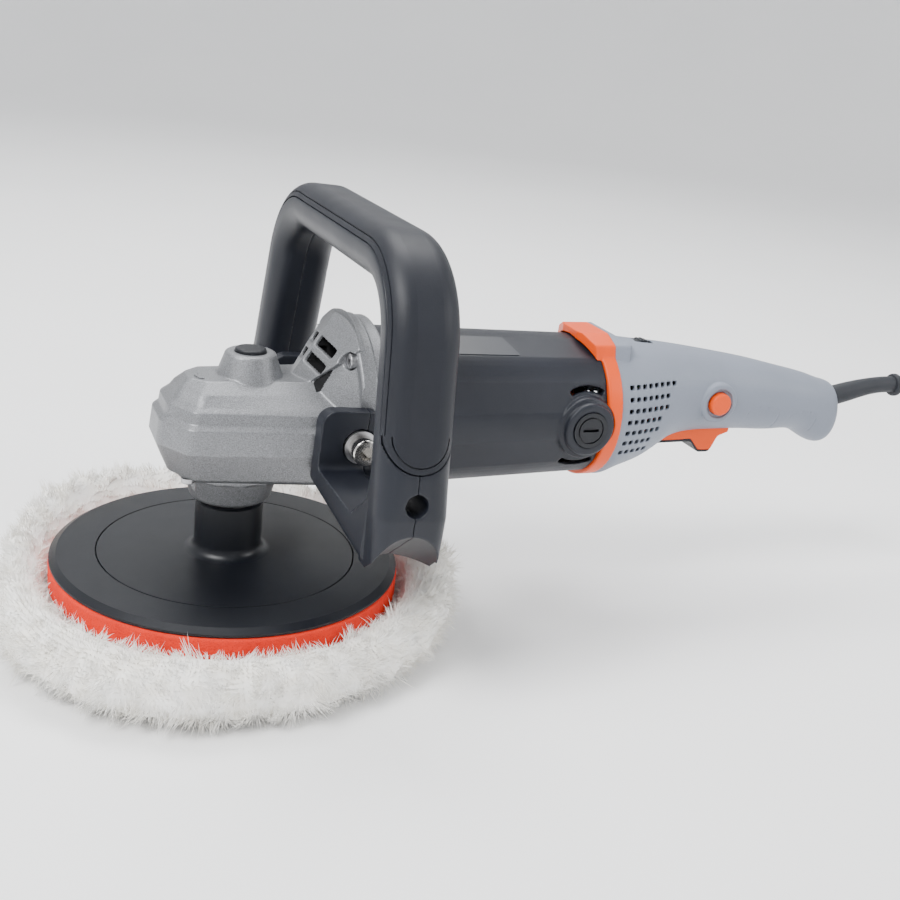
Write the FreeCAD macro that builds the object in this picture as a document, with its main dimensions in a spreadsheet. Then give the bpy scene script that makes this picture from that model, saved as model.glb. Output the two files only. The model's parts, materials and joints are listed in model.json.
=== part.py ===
"""Rotary polisher as a parametric document of separate pieces.

Millimetres, +Z up.  The origin is the centre of the pad's working face, the spindle is the Z axis, the
motor axis runs along +X towards the rear grip, and -Y is the operator's right-hand side.
"""
import FreeCAD, Part
import Sketcher
import math
import os

from FreeCAD import Placement, Rotation, Vector

# Driving dimensions, in millimetres unless the name ends in _teeth, _angle or _ratio.
SIZES = {
    # pad stack, from the working face up
    "wool_radius": 116.0, "wool_rim_top": 29.0, "wool_web_top": 18.5, "wool_recess_radius": 91.0,
    "grip_radius": 86.5, "grip_top": 20.5,
    "foam_radius": 88.0, "foam_top": 33.0,
    "plate_radius": 87.5, "plate_edge_top": 35.4, "plate_top": 37.0, "plate_crown": 38.4,
    "plate_groove_radius": 65.0, "plate_groove": 0.7,
    "hub_radius": 17.0, "hub_top": 65.8, "hub_flare": 5.0, "thread_radius": 7.0,
    # spindle and its bearings
    "spindle_end": 40.0, "collar_radius": 12.0, "collar_top": 67.8,
    "spindle_radius": 7.5, "spindle_step": 83.5, "spindle_top_radius": 6.0, "spindle_top": 108.0,
    "spacer_radius": 8.5,
    "lower_bearing_low": 70.5, "lower_bearing_high": 81.5, "lower_bearing_radius": 17.5,
    "upper_bearing_low": 86.0, "upper_bearing_high": 96.0, "upper_bearing_radius": 16.0,
    "running_gap": 0.05,
    # bevel gears: both cones meet where the two axes cross
    "motor_height": 113.4, "crown_teeth": 36, "pinion_teeth": 10, "crown_pitch_radius": 27.0,
    "gear_face": 9.0, "crown_low": 98.0, "crown_top": 108.0,
    # gear head
    "neck_low": 68.0, "neck_low_radius": 20.4, "neck_top_radius": 23.8, "cover_low": 81.2, "head_low": 84.3,
    "head_rear": 52.0, "cavity_radius": 29.5, "cavity_low": 96.0, "cavity_high": 111.6,
    "cover_boss_radius": 18.6,
    "flange_front": 51.0, "flange_rear": 59.0, "flange_radius": 48.0, "flange_half_width": 42.0,
    "button_x": 6.7, "button_radius": 7.7, "button_top": 144.3, "boss_top": 142.6, "boss_radius": 11.6,
    "lock_pin_x": 9.7, "lock_pin_radius": 2.4,
    # motor
    "bracket_rear": 66.0, "bracket_radius": 47.0, "front_bearing_front": 55.0, "front_bearing_rear": 64.0,
    "front_bearing_radius": 15.0, "shaft_radius": 6.0, "shaft_seat_radius": 5.0, "shaft_nose_radius": 3.0,
    "shaft_tail_radius": 4.0, "shaft_front": 13.6, "shaft_rear": 196.0,
    "rear_bearing_front": 187.0, "rear_bearing_rear": 194.0, "rear_bearing_radius": 11.0,
    "fan_front": 69.0, "fan_rear": 82.0, "fan_radius": 34.0, "core_front": 92.0, "core_rear": 150.0,
    "core_radius": 22.0, "stator_radius": 35.2, "stator_bore": 22.8,
    "commutator_front": 166.0, "commutator_rear": 184.0, "commutator_radius": 14.0,
    # housings
    "motor_front_radius": 42.0, "motor_rear_radius": 38.4, "motor_rear": 190.0, "motor_wall": 3.0,
    "band_rear": 198.0, "band_radius": 39.9,
    "brush_x": 178.0, "brush_height": 112.2, "brush_boss_radius": 14.2, "brush_foot_radius": 16.6,
    "brush_boss_face": 42.8,
    "brush_cap_radius": 9.6,
    # rear grip and its controls
    "grip_wall": 2.6,
    "trigger_pivot_x": 249.7, "trigger_pivot_z": 109.0, "trigger_half": 9.6,
    "lock_on_x": 268.5, "lock_on_z": 119.5, "lock_on_radius": 6.4, "lock_on_face": 28.5,
    "dial_x": 226.5, "dial_z": 139.6, "dial_radius": 10.4, "dial_half": 3.2,
    # D-handle
    "handle_x": 52.8, "handle_z": 116.7, "handle_tilt_angle": 3.0, "handle_foot_y": 107.2,
    "handle_foot_z": 118.0, "handle_top_y": 90.0, "handle_top_z": 204.5, "handle_bend": 40.0,
    "handle_half_depth": 17.0, "handle_half_width": 12.0, "handle_round": 11.0, "grip_skin": 2.2,
    "bolt_x": 49.6, "bolt_z": 110.0, "bolt_radius": 4.0, "bolt_head_radius": 6.5,
    # mains cord
    "cord_radius": 3.5, "boot_tip_x": 418.0, "boot_tip_z": 121.0,
    "coil_radius": 42.0, "coil_turns": 6.25,
}

# The cord's route from the boot to the coil: chosen by hand, straight out, then down to the floor.
CORD_ROUTE = [
    (418.0, 0.0, 121.0), (440.0, 0.0, 121.0), (464.0, -2.0, 112.0), (484.0, -7.0, 93.0),
    (497.5, -15.0, 69.0), (506.0, -25.0, 44.0), (512.5, -37.0, 22.0), (517.5, -55.0, 7.8),
    (519.5, -80.0, 3.5), (518.9, -104.0, 3.5),
]

doc = FreeCAD.newDocument("RotaryPolisher")
sheet = doc.addObject("Spreadsheet::Sheet", "Sizes")
for row, (alias, value) in enumerate(SIZES.items(), start=1):
    sheet.set("A%d" % row, alias)
    sheet.set("B%d" % row, str(value))
    sheet.setAlias("B%d" % row, alias)
doc.recompute()

X_AXIS = Vector(1, 0, 0)
Y_AXIS = Vector(0, 1, 0)
Z_AXIS = Vector(0, 0, 1)
pieces = []


# ---------------------------------------------------------------- measures, sketches and solids

def size(alias):
    """A driving dimension, read back from the sheet."""
    return float(sheet.get(alias))


def is_number(word):
    return word.replace(".", "", 1).isdigit()


def value_of(measure):
    """The number that a measure such as 'plate_top - 2' stands for."""
    total = 0.0
    sign = 1.0
    for word in str(measure).split():
        if word in ("+", "-"):
            sign = 1.0 if word == "+" else -1.0
        elif is_number(word):
            total += sign * float(word)
        else:
            total += sign * size(word)
    return total


def formula_of(measure):
    """The same measure as an expression on the sheet."""
    words = str(measure).split()
    return " ".join(w if w in ("+", "-") or is_number(w) else "Sizes." + w for w in words)


def origin_plane(body, role):
    return next(feature for feature in body.Origin.OriginFeatures if feature.Role == role)


def polygon_sketch(body, name, role, corners):
    """A closed outline whose corners are each bound to measures of the sheet."""
    sketch = body.newObject("Sketcher::SketchObject", name)
    sketch.AttachmentSupport = [(origin_plane(body, role), "")]
    sketch.MapMode = "FlatFace"
    points = [Vector(value_of(u), value_of(v), 0) for u, v in corners]
    count = len(points)
    for index in range(count):
        sketch.addGeometry(Part.LineSegment(points[index], points[(index + 1) % count]), False)
    for index in range(count):
        sketch.addConstraint(Sketcher.Constraint("Coincident", index, 2, (index + 1) % count, 1))
    for index, corner in enumerate(corners):
        for kind, measure, axis_line in (("DistanceX", corner[0], -2), ("DistanceY", corner[1], -1)):
            if value_of(measure) == 0.0:
                sketch.addConstraint(Sketcher.Constraint("PointOnObject", index, 1, axis_line))
                continue
            number = sketch.addConstraint(Sketcher.Constraint(kind, index, 1, value_of(measure)))
            sketch.setExpression("Constraints[%d]" % number, formula_of(measure))
    return sketch


def keep(piece, name):
    """Register a finished document object as one piece of the polisher."""
    piece.Label = name
    pieces.append(piece)
    return piece


def turned_body(name, corners, axis="Z"):
    """A turned piece.  Corners are (radius, height) about Z, or (x, radius) about the motor axis."""
    body = doc.addObject("PartDesign::Body", name)
    sketch = polygon_sketch(body, name + "_profile", "XZ_Plane", corners)
    turn = body.newObject("PartDesign::Revolution", name + "_turn")
    turn.Profile = sketch
    turn.ReferenceAxis = (sketch, ["V_Axis" if axis == "Z" else "H_Axis"])
    turn.Angle = 360
    body.Tip = turn
    if axis == "X":
        body.setExpression("Placement.Base.z", "Sizes.motor_height")
    doc.recompute()
    return keep(body, name)


def round_edges(body, radius_alias, wanted):
    """Fillet the edges of a body's tip that the test picks out."""
    tip = body.Tip
    names = ["Edge%d" % number for number, edge in enumerate(tip.Shape.Edges, start=1) if wanted(edge)]
    fillet = body.newObject("PartDesign::Fillet", body.Name + "_" + radius_alias)
    fillet.Base = (tip, names)
    fillet.setExpression("Radius", "Sizes." + radius_alias)
    body.Tip = fillet
    doc.recompute()


def is_circle(edge, radius, height):
    """True for a level circle of that radius at that height."""
    curve = edge.Curve
    return hasattr(curve, "Radius") and abs(curve.Radius - radius) < 0.01 and abs(curve.Center.z - height) < 0.01


def shaped(name, shape):
    """A piece whose form no primitive or turned body fits: its shape comes from the sheet's sizes."""
    feature = doc.addObject("Part::Feature", name)
    feature.Shape = shape
    return keep(feature, name)


def at_plane(plane, level):
    """Map flat (u, v) to space: 'XY' at a height, 'YZ' at an x, 'XZ' at a y."""
    return {
        "XY": lambda u, v: Vector(u, v, level),
        "YZ": lambda u, v: Vector(level, u, v),
        "XZ": lambda u, v: Vector(u, level, v),
    }[plane]


def rounded_wire(corners, place):
    """A closed outline through (u, v, corner radius), each corner an arc tangent to its two sides."""
    count = len(corners)
    arcs = []
    for index in range(count):
        here = Vector(corners[index][0], corners[index][1], 0)
        before = Vector(corners[index - 1][0], corners[index - 1][1], 0).sub(here).normalize()
        after = Vector(corners[(index + 1) % count][0], corners[(index + 1) % count][1], 0)
        after = after.sub(here).normalize()
        radius = corners[index][2]
        if radius <= 0:
            arcs.append((here, here, here))
            continue
        half = before.getAngle(after) / 2
        reach = radius / math.tan(half)
        middle = before.add(after).normalize()
        centre = here.add(middle * (radius / math.sin(half)))
        arcs.append((here.add(before * reach), centre.sub(middle * radius), here.add(after * reach)))
    edges = []
    for index in range(count):
        start, mid, end = arcs[index]
        following = arcs[(index + 1) % count][0]
        if start.distanceToPoint(end) > 1e-6:
            edges.append(Part.Arc(place(*start[:2]), place(*mid[:2]), place(*end[:2])).toShape())
        if end.distanceToPoint(following) > 1e-6:
            edges.append(Part.LineSegment(place(*end[:2]), place(*following[:2])).toShape())
    return Part.Wire(edges)


def slab(plane, corners, low, high):
    """An outline of (u, v) or (u, v, radius) extruded between two levels of its plane."""
    corners = [corner if len(corner) == 3 else (corner[0], corner[1], 0.0) for corner in corners]
    face = Part.Face(rounded_wire(corners, at_plane(plane, low)))
    direction = {"XY": Z_AXIS, "YZ": X_AXIS, "XZ": Y_AXIS}[plane]
    return face.extrude(direction * (high - low))


def block(low, high):
    """A box between two corners."""
    return Part.makeBox(high[0] - low[0], high[1] - low[1], high[2] - low[2], Vector(*low))


def rod(start, end, radius):
    """A round bar between two points."""
    along = Vector(*end).sub(Vector(*start))
    return Part.makeCylinder(radius, along.Length, Vector(*start), along)


def ring(start, end, outer, inner):
    """A round tube between two points."""
    return rod(start, end, outer).cut(rod(start, end, inner))


def motor_turned(corners, angle=360.0, first=0.0):
    """Revolve (x, radius) about the motor axis; first is the starting angle away from straight up."""
    height = size("motor_height")
    wire = Part.makePolygon([Vector(x, 0, height + r) for x, r in corners + corners[:1]])
    face = Part.Face(wire)
    centre = Vector(0, 0, height)
    face.rotate(centre, X_AXIS, first)
    return face.revolve(centre, X_AXIS, angle)


def spindle_turned(corners):
    """Revolve (radius, height) about the spindle axis."""
    wire = Part.makePolygon([Vector(r, 0, z) for r, z in corners + corners[:1]])
    return Part.Face(wire).revolve(Vector(0, 0, 0), Z_AXIS, 360)


def turned_copies(shape, centre, axis, count, first=0.0):
    """Copies of a shape spaced evenly round an axis."""
    copies = []
    for index in range(count):
        copy = shape.copy()
        copy.rotate(centre, axis, first + 360.0 * index / count)
        copies.append(copy)
    return copies


def both_sides(shape):
    """A shape and its mirror image across the middle plane."""
    return [shape, shape.mirror(Vector(0, 0, 0), Y_AXIS)]


def socket_screw(head_radius, head_height, radius, length, socket_radius):
    """A cap screw pointing down: head below z=0 upwards, shank below, hex socket in the head."""
    screw = rod((0, 0, 0), (0, 0, head_height), head_radius)
    rim = [edge for edge in screw.Edges if edge.BoundBox.ZMin > head_height - 0.01 and len(edge.Vertexes) == 1]
    screw = screw.makeFillet(head_radius * 0.14, rim)
    screw = screw.fuse(rod((0, 0, 0), (0, 0, -length), radius))
    hexagon = [(socket_radius * math.cos(math.radians(60 * k)),
                socket_radius * math.sin(math.radians(60 * k)))
               for k in range(6)]
    return screw.cut(slab("XY", hexagon, head_height * 0.35, head_height + 1)).removeSplitter()


def pointed(shape, direction, position):
    """Turn a shape's +Z to a direction and move it to a position."""
    placed = shape.copy()
    placed.Placement = Placement(Vector(*position), Rotation(Z_AXIS, Vector(*direction)))
    return placed


def coil_spring(start, direction, length, coil_radius, wire_radius, turns):
    """A compression spring swept along a helix."""
    helix = Part.makeHelix(length / turns, length, coil_radius)
    section = Part.Wire([Part.makeCircle(wire_radius, Vector(coil_radius, 0, 0), Y_AXIS)])
    spring = Part.Wire(helix).makePipeShell([section], True, True)
    return pointed(spring, direction, start)


# ---------------------------------------------------------------- pad stack and backing plate

def make_pad_stack():
    turned_body("wool_pad", [
        ("0", "0"), ("wool_radius - 9", "0"), ("wool_radius", "9"), ("wool_radius", "wool_web_top"),
        ("wool_radius - 9", "wool_rim_top"), ("wool_recess_radius + 2", "wool_rim_top"),
        ("wool_recess_radius", "wool_rim_top - 2"), ("wool_recess_radius", "wool_web_top"),
        ("0", "wool_web_top"),
    ])
    turned_body("grip_layer", [
        ("0", "wool_web_top"), ("grip_radius", "wool_web_top"), ("grip_radius", "grip_top"),
        ("0", "grip_top"),
    ])
    turned_body("foam_cushion", [
        ("0", "grip_top"), ("foam_radius - 1", "grip_top"), ("foam_radius", "grip_top + 2"),
        ("foam_radius", "foam_top - 3"), ("foam_radius - 1", "foam_top"), ("0", "foam_top"),
    ])
    plate = turned_body("backing_plate", [
        ("thread_radius", "foam_top"), ("plate_radius - 0.8", "foam_top"), ("plate_radius", "foam_top + 0.8"),
        ("plate_radius", "plate_edge_top - 0.5"), ("plate_radius - 3.5", "plate_top"),
        ("plate_groove_radius + 0.4", "plate_top + 0.3"), ("plate_groove_radius", "plate_top - plate_groove"),
        ("plate_groove_radius - 0.4", "plate_top + 0.3"), ("hub_radius", "plate_crown"),
        ("hub_radius", "hub_top - 1"), ("hub_radius - 1", "hub_top"), ("thread_radius", "hub_top"),
    ])
    hub_foot = (size("hub_radius"), size("plate_crown"))
    round_edges(plate, "hub_flare", lambda edge: is_circle(edge, *hub_foot))


# ---------------------------------------------------------------- spindle, bearings and bevel gears

def bevel_axes():
    """Half angle of the pinion's pitch cone, outer cone distance and tooth module."""
    ratio = size("pinion_teeth") / size("crown_teeth")
    pinion_angle = math.atan(ratio)
    cone = size("crown_pitch_radius") / math.cos(pinion_angle)
    return pinion_angle, cone, 2 * size("crown_pitch_radius") / size("crown_teeth")


def bevel_tooth(half_angle, forward, outward):
    """One straight tooth on a pitch cone whose axis points forward and whose tooth faces outward."""
    cone, module = bevel_axes()[1:]
    pressure = math.tan(math.radians(20))
    thickness = 0.40 * math.pi * module / 2
    apex = Vector(0, 0, size("motor_height"))
    element = forward * math.cos(half_angle) + outward * math.sin(half_angle)
    normal = outward * math.cos(half_angle) - forward * math.sin(half_angle)
    side = forward.cross(outward)
    sections = []
    for distance in (cone, cone - size("gear_face")):
        scale = distance / cone
        points = []
        for height in (-1.35 * module, 0.8 * module):
            half = thickness - height * pressure
            for sign in (-1, 1) if height < 0 else (1, -1):
                offset = element * cone + normal * height + side * (sign * half)
                points.append(apex + offset * scale)
        sections.append(Part.makePolygon(points + points[:1]))
    return Part.makeLoft(sections, True, True)


def cone_point(half_angle, share, height):
    """(along the axis, radius) of a point at a share of the cone distance and a height over the cone."""
    cone, module = bevel_axes()[1:]
    along = cone * math.cos(half_angle) - height * module * math.sin(half_angle)
    radius = cone * math.sin(half_angle) + height * module * math.cos(half_angle)
    return along * share, radius * share


def make_gears():
    pinion_angle, cone = bevel_axes()[:2]
    crown_angle = math.pi / 2 - pinion_angle
    inner_share = (cone - size("gear_face")) / cone
    axis_height = size("motor_height")
    centre = Vector(0, 0, axis_height)

    outer_depth, outer_radius = cone_point(crown_angle, 1.0, -1.1)
    inner_depth, inner_radius = cone_point(crown_angle, inner_share, -1.1)
    bore = size("spindle_top_radius")
    low = size("crown_low")
    crown = spindle_turned([
        (bore, low), (outer_radius - 2, low), (outer_radius, low + 2),
        (outer_radius, axis_height - outer_depth),
        (inner_radius, axis_height - inner_depth), (inner_radius - 1, size("crown_top")),
        (bore, size("crown_top")),
    ])
    tooth = bevel_tooth(crown_angle, Z_AXIS * -1, X_AXIS)
    crown = crown.fuse(turned_copies(tooth, centre, Z_AXIS, int(size("crown_teeth")))).removeSplitter()
    pin_hole = rod((size("lock_pin_x"), 0, low - 1), (size("lock_pin_x"), 0, axis_height), 2.8)
    for hole in turned_copies(pin_hole, centre, Z_AXIS, 4):
        crown = crown.cut(hole)
    shaped("crown_gear", crown)

    outer_x, outer_root = cone_point(pinion_angle, 1.0, -1.1)
    inner_x, inner_root = cone_point(pinion_angle, inner_share, -1.1)
    nose = size("shaft_nose_radius")
    pinion = motor_turned([
        (inner_x, nose), (inner_x, inner_root), (outer_x, outer_root), (outer_x + 1.5, 7.0), (34.0, 7.0),
        (34.0, nose),
    ])
    tooth = bevel_tooth(pinion_angle, X_AXIS, Z_AXIS * -1)
    half_pitch = 180.0 / size("pinion_teeth")
    teeth = turned_copies(tooth, centre, X_AXIS, int(size("pinion_teeth")), half_pitch)
    shaped("pinion", pinion.fuse(teeth).removeSplitter())


def make_spindle():
    turned_body("spindle", [
        ("0", "spindle_end"), ("thread_radius - 1", "spindle_end"), ("thread_radius", "spindle_end + 1"),
        ("thread_radius", "hub_top"), ("collar_radius", "hub_top"), ("collar_radius", "collar_top"),
        ("spindle_radius", "collar_top"), ("spindle_radius", "spindle_step"),
        ("spindle_top_radius", "spindle_step"),
        ("spindle_top_radius", "upper_bearing_high + 0.5"), ("spacer_radius", "upper_bearing_high + 0.5"),
        ("spacer_radius", "crown_low"), ("spindle_top_radius", "crown_low"),
        ("spindle_top_radius", "spindle_top - 1"),
        ("spindle_top_radius - 1", "spindle_top"), ("0", "spindle_top"),
    ])
    for name, bore in (("lower_bearing", "spindle_radius"), ("upper_bearing", "spindle_top_radius")):
        inner = bore + " + running_gap"
        outer = name + "_radius"
        low = name + "_low"
        high = name + "_high"
        turned_body("spindle_" + name, [
            (inner, low), (inner + " + 3", low), (inner + " + 3", low + " + 1"),
            (outer + " - 3", low + " + 1"),
            (outer + " - 3", low), (outer, low), (outer, high), (outer + " - 3", high),
            (outer + " - 3", high + " - 1"), (inner + " + 3", high + " - 1"), (inner + " + 3", high),
            (inner, high),
        ])


# ---------------------------------------------------------------- gear head castings

# Outline levels of the gear head: height, nose x, shoulder x, shoulder half width, rear half width.
HEAD_LEVELS = [
    (84.3, -30.0, -21.0, 24.5, 37.0),
    (86.5, -33.6, -24.0, 27.6, 39.4),
    (101.0, -39.6, -28.0, 31.0, 41.8),
    (112.5, -38.4, -27.0, 30.0, 41.4),
    (114.6, -35.8, -25.2, 27.4, 38.6),
    (120.0, -35.0, -24.4, 26.6, 37.8),
    (122.0, -32.0, -22.0, 24.0, 35.0),
    (126.6, -29.0, -20.0, 19.6, 25.0),
    (131.2, -24.5, -16.5, 12.5, 16.0),
]


def head_outline(height, nose_x, shoulder_x, shoulder_y, rear_y, rear_x):
    """Level outline of the gear head: blunt nose, rounded shoulders and straight sides."""
    nose_y = shoulder_y * 0.42
    nose_round = shoulder_y * 0.42
    shoulder_round = shoulder_y * 0.22
    corners = [
        (rear_x, -rear_y, 0.0), (shoulder_x, -shoulder_y, shoulder_round), (nose_x, -nose_y, nose_round),
        (nose_x, nose_y, nose_round), (shoulder_x, shoulder_y, shoulder_round), (rear_x, rear_y, 0.0),
    ]
    return rounded_wire(corners, at_plane("XY", height))


def hood_front(offset):
    """Everything in front of the hood's sloping face, which is bent back on either side of the middle."""
    wires = []
    for height in (105.0, 180.0):
        middle = 29.0 + (height - 133.0) / 1.6 + offset
        side = middle + 0.33 * 60.0
        wires.append(Part.makePolygon([Vector(-60, -60, height), Vector(side, -60, height),
                                       Vector(middle, 0, height),
                                       Vector(side, 60, height), Vector(-60, 60, height),
                                       Vector(-60, -60, height)]))
    return Part.makeLoft(wires, True, True)


def hood_windows():
    """Four windows in the hood's face: two rows, one window a side of the middle rib."""
    windows = []
    for top, low in ((151.3, 146.2), (143.3, 138.2)):
        outline = [(-1.6, top, 1.0), (-18.5, top - 3.2, 1.2), (-18.0, low - 2.8, 1.2), (-1.6, low, 1.0)]
        windows += both_sides(slab("YZ", outline, 25.0, 50.8))
    return windows


def make_gear_housing():
    height = size("motor_height")
    rear = size("head_rear")
    outlines = [head_outline(*level, rear) for level in HEAD_LEVELS]
    body = Part.makeLoft(outlines, True, True)

    front = size("flange_front")
    back = size("flange_rear")
    radius = size("flange_radius")
    half = size("flange_half_width")
    flange = motor_turned([(front, 0.0), (front, radius - 1), (front + 1, radius), (back, radius),
                           (back, 0.0)])
    neck = motor_turned([(20.0, 0.0), (30.0, 17.0), (front, radius - 4.5), (front, 0.0)])
    sides = block((0, -half, 0), (100, half, 200))
    body = body.fuse([flange.common(sides), neck.common(sides)])
    hood = motor_turned([(22.0, 13.0), (22.0, 49.7), (front + 3, 49.7), (front + 3, 13.0)], 78.0, -39.0)
    body = body.fuse(hood.cut(hood_front(0.0)))
    button_x = size("button_x")
    boss = Part.makeCone(16.6, size("boss_radius") + 0.8, 12.0, Vector(button_x, 0, 130.0))
    boss = boss.fuse(rod((button_x, 0, 140.0), (button_x, 0, size("boss_top")), size("boss_radius")))
    body = body.fuse(boss).removeSplitter()

    cover_bore = size("cover_boss_radius")
    hollow = [
        spindle_turned([(0, 70), (cover_bore, 70), (cover_bore, size("cavity_low")),
                        (size("cavity_radius"), size("cavity_low")),
                        (size("cavity_radius"), size("cavity_high")),
                        (0, size("cavity_high"))]),
        rod((0, 0, height), (front + 1, 0, height), 11.0),
        motor_turned([(front, 0.0), (front, 18.1), (60.0, 18.1), (60.0, 0.0)]),
        motor_turned([(25.0, 24.0), (25.0, 46.4), (50.8, 46.4), (50.8, 24.0)], 64.0,
                     -32.0).cut(hood_front(3.0)),
        motor_turned([(50.0, 24.0), (50.0, 42.0), (60.0, 42.0), (60.0, 24.0)], 60.0, -30.0),
        rod((size("lock_pin_x"), 0, 120), (size("lock_pin_x"), 0, 140), size("lock_pin_radius") + 0.05),
        rod((button_x, 0, 131.2), (button_x, 0, 150), size("button_radius") + 0.08),
    ]
    body = body.cut(hollow + hood_windows())
    bolt = rod((size("bolt_x"), -60, size("bolt_z")), (size("bolt_x"), -22, size("bolt_z")),
               size("bolt_radius"))
    for tool in both_sides(bolt):
        body = body.cut(tool)
    for x, y in COVER_SCREWS:
        body = body.cut(rod((x, y, 75), (x, y, 97), 1.9))
    for y, z in housing_screw_places():
        body = body.cut(rod((40, y, z), (front + 0.2, y, z), 4.3))
        body = body.cut(rod((40, y, z), (70, y, z), 2.0))
    shaped("gear_housing", body)


COVER_SCREWS = [(-23.3, -9.4), (-23.3, 9.4), (37.0, -10.5), (37.0, 10.5)]


def housing_screw_places():
    """(y, z) of the four screws that hold the gear head to the motor housing."""
    reach = 43.2
    places = []
    for degrees in (42.0, -42.0, 142.0, -142.0):
        angle = math.radians(degrees)
        places.append((reach * math.sin(angle) * 0.95, size("motor_height") + reach * math.cos(angle)))
    return places


def make_bearing_cover():
    low = size("cover_low")
    high = size("head_low")
    side = [(39.4, -14.0, 4.0), (11.0, -24.5, 8.0), (-12.0, -23.2, 6.0), (-27.6, -9.0, 6.0)]
    outline = side + [(x, -y, corner) for x, y, corner in reversed(side)]
    plate = slab("XY", outline, low, high)
    neck = spindle_turned([
        (0, size("neck_low")), (size("neck_low_radius") - 1.2, size("neck_low")),
        (size("neck_low_radius"), size("neck_low") + 1.2), (size("neck_low_radius") + 1.0, 73.0),
        (size("neck_top_radius"), low), (size("cover_boss_radius"), high),
        (size("cover_boss_radius"), size("upper_bearing_high")), (0, size("upper_bearing_high")),
    ])
    cover = plate.fuse(neck).removeSplitter()
    bores = [
        spindle_turned([(0, 60), (12.8, 60), (12.8, size("lower_bearing_low")),
                        (size("lower_bearing_radius"), size("lower_bearing_low")),
                        (size("lower_bearing_radius"), size("lower_bearing_high")),
                        (10.0, size("lower_bearing_high")), (10.0, size("upper_bearing_low")),
                        (size("upper_bearing_radius"), size("upper_bearing_low")),
                        (size("upper_bearing_radius"), 98), (0, 98)]),
    ]
    bores += [rod((x, y, 75), (x, y, 97), 1.9) for x, y in COVER_SCREWS]
    bores += [rod((x, y, 70), (x, y, low), 3.6) for x, y in COVER_SCREWS]
    shaped("bearing_cover", cover.cut(bores))

    screw = socket_screw(3.4, 2.6, 1.9, 15.0, 1.5)
    screws = [pointed(screw, (0, 0, -1), (x, y, low)) for x, y in COVER_SCREWS]
    shaped("bearing_cover_screws", Part.makeCompound(screws))


def make_lock_button():
    x = size("button_x")
    top = size("button_top")
    radius = size("button_radius")
    cap = rod((x, 0, top - 5.0), (x, 0, top), radius)
    rim = [edge for edge in cap.Edges if edge.BoundBox.ZMin > top - 0.01 and len(edge.Vertexes) == 1]
    cap = cap.makeFillet(0.8, rim)
    pin_x = size("lock_pin_x")
    pin = rod((pin_x, 0, size("crown_top") + 0.5), (pin_x, 0, top - 4.5), size("lock_pin_radius"))
    shaped("spindle_lock_button", cap.fuse(pin).removeSplitter())
    shaped("lock_button_spring", coil_spring((pin_x, 0, 131.8), (0, 0, 1), 6.4, 3.6, 0.4, 5))


def make_bearing_bracket():
    front = size("flange_rear")
    back = size("bracket_rear")
    radius = size("bracket_radius")
    half = size("flange_half_width")
    sides = block((0, -half, 0), (100, half, 200))
    bracket = motor_turned([(front, 0.0), (front, radius), (back - 1, radius), (back, radius - 1),
                            (back, 0.0)])
    bracket = bracket.common(sides)
    bracket = bracket.fuse(motor_turned([(52.0, 0.0), (52.0, 17.2), (53.0, 18.0), (front, 18.0),
                                         (front, 0.0)]))
    bracket = bracket.cut(motor_turned([(50.0, 0.0), (50.0, 9.0), (size("front_bearing_front"), 9.0),
                                        (size("front_bearing_front"), size("front_bearing_radius")),
                                        (70.0, size("front_bearing_radius")), (70.0, 0.0)]))
    window = motor_turned([(58.0, 22.0), (70.0, 22.0), (70.0, 37.0), (58.0, 37.0)], 44.0, -22.0)
    centre = Vector(0, 0, size("motor_height"))
    for tool in turned_copies(window, centre, X_AXIS, 6):
        bracket = bracket.cut(tool)
    for y, z in housing_screw_places():
        bracket = bracket.cut(rod((50, y, z), (70, y, z), 2.0))
    shaped("bearing_bracket", bracket.removeSplitter())

    screw = socket_screw(3.7, 3.2, 2.0, 24.0, 1.9)
    heads = [pointed(screw, (-1, 0, 0), (size("flange_front") + 0.2, y, z)) for y,
             z in housing_screw_places()]
    shaped("gear_housing_screws", Part.makeCompound(heads))


# ---------------------------------------------------------------- motor

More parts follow.
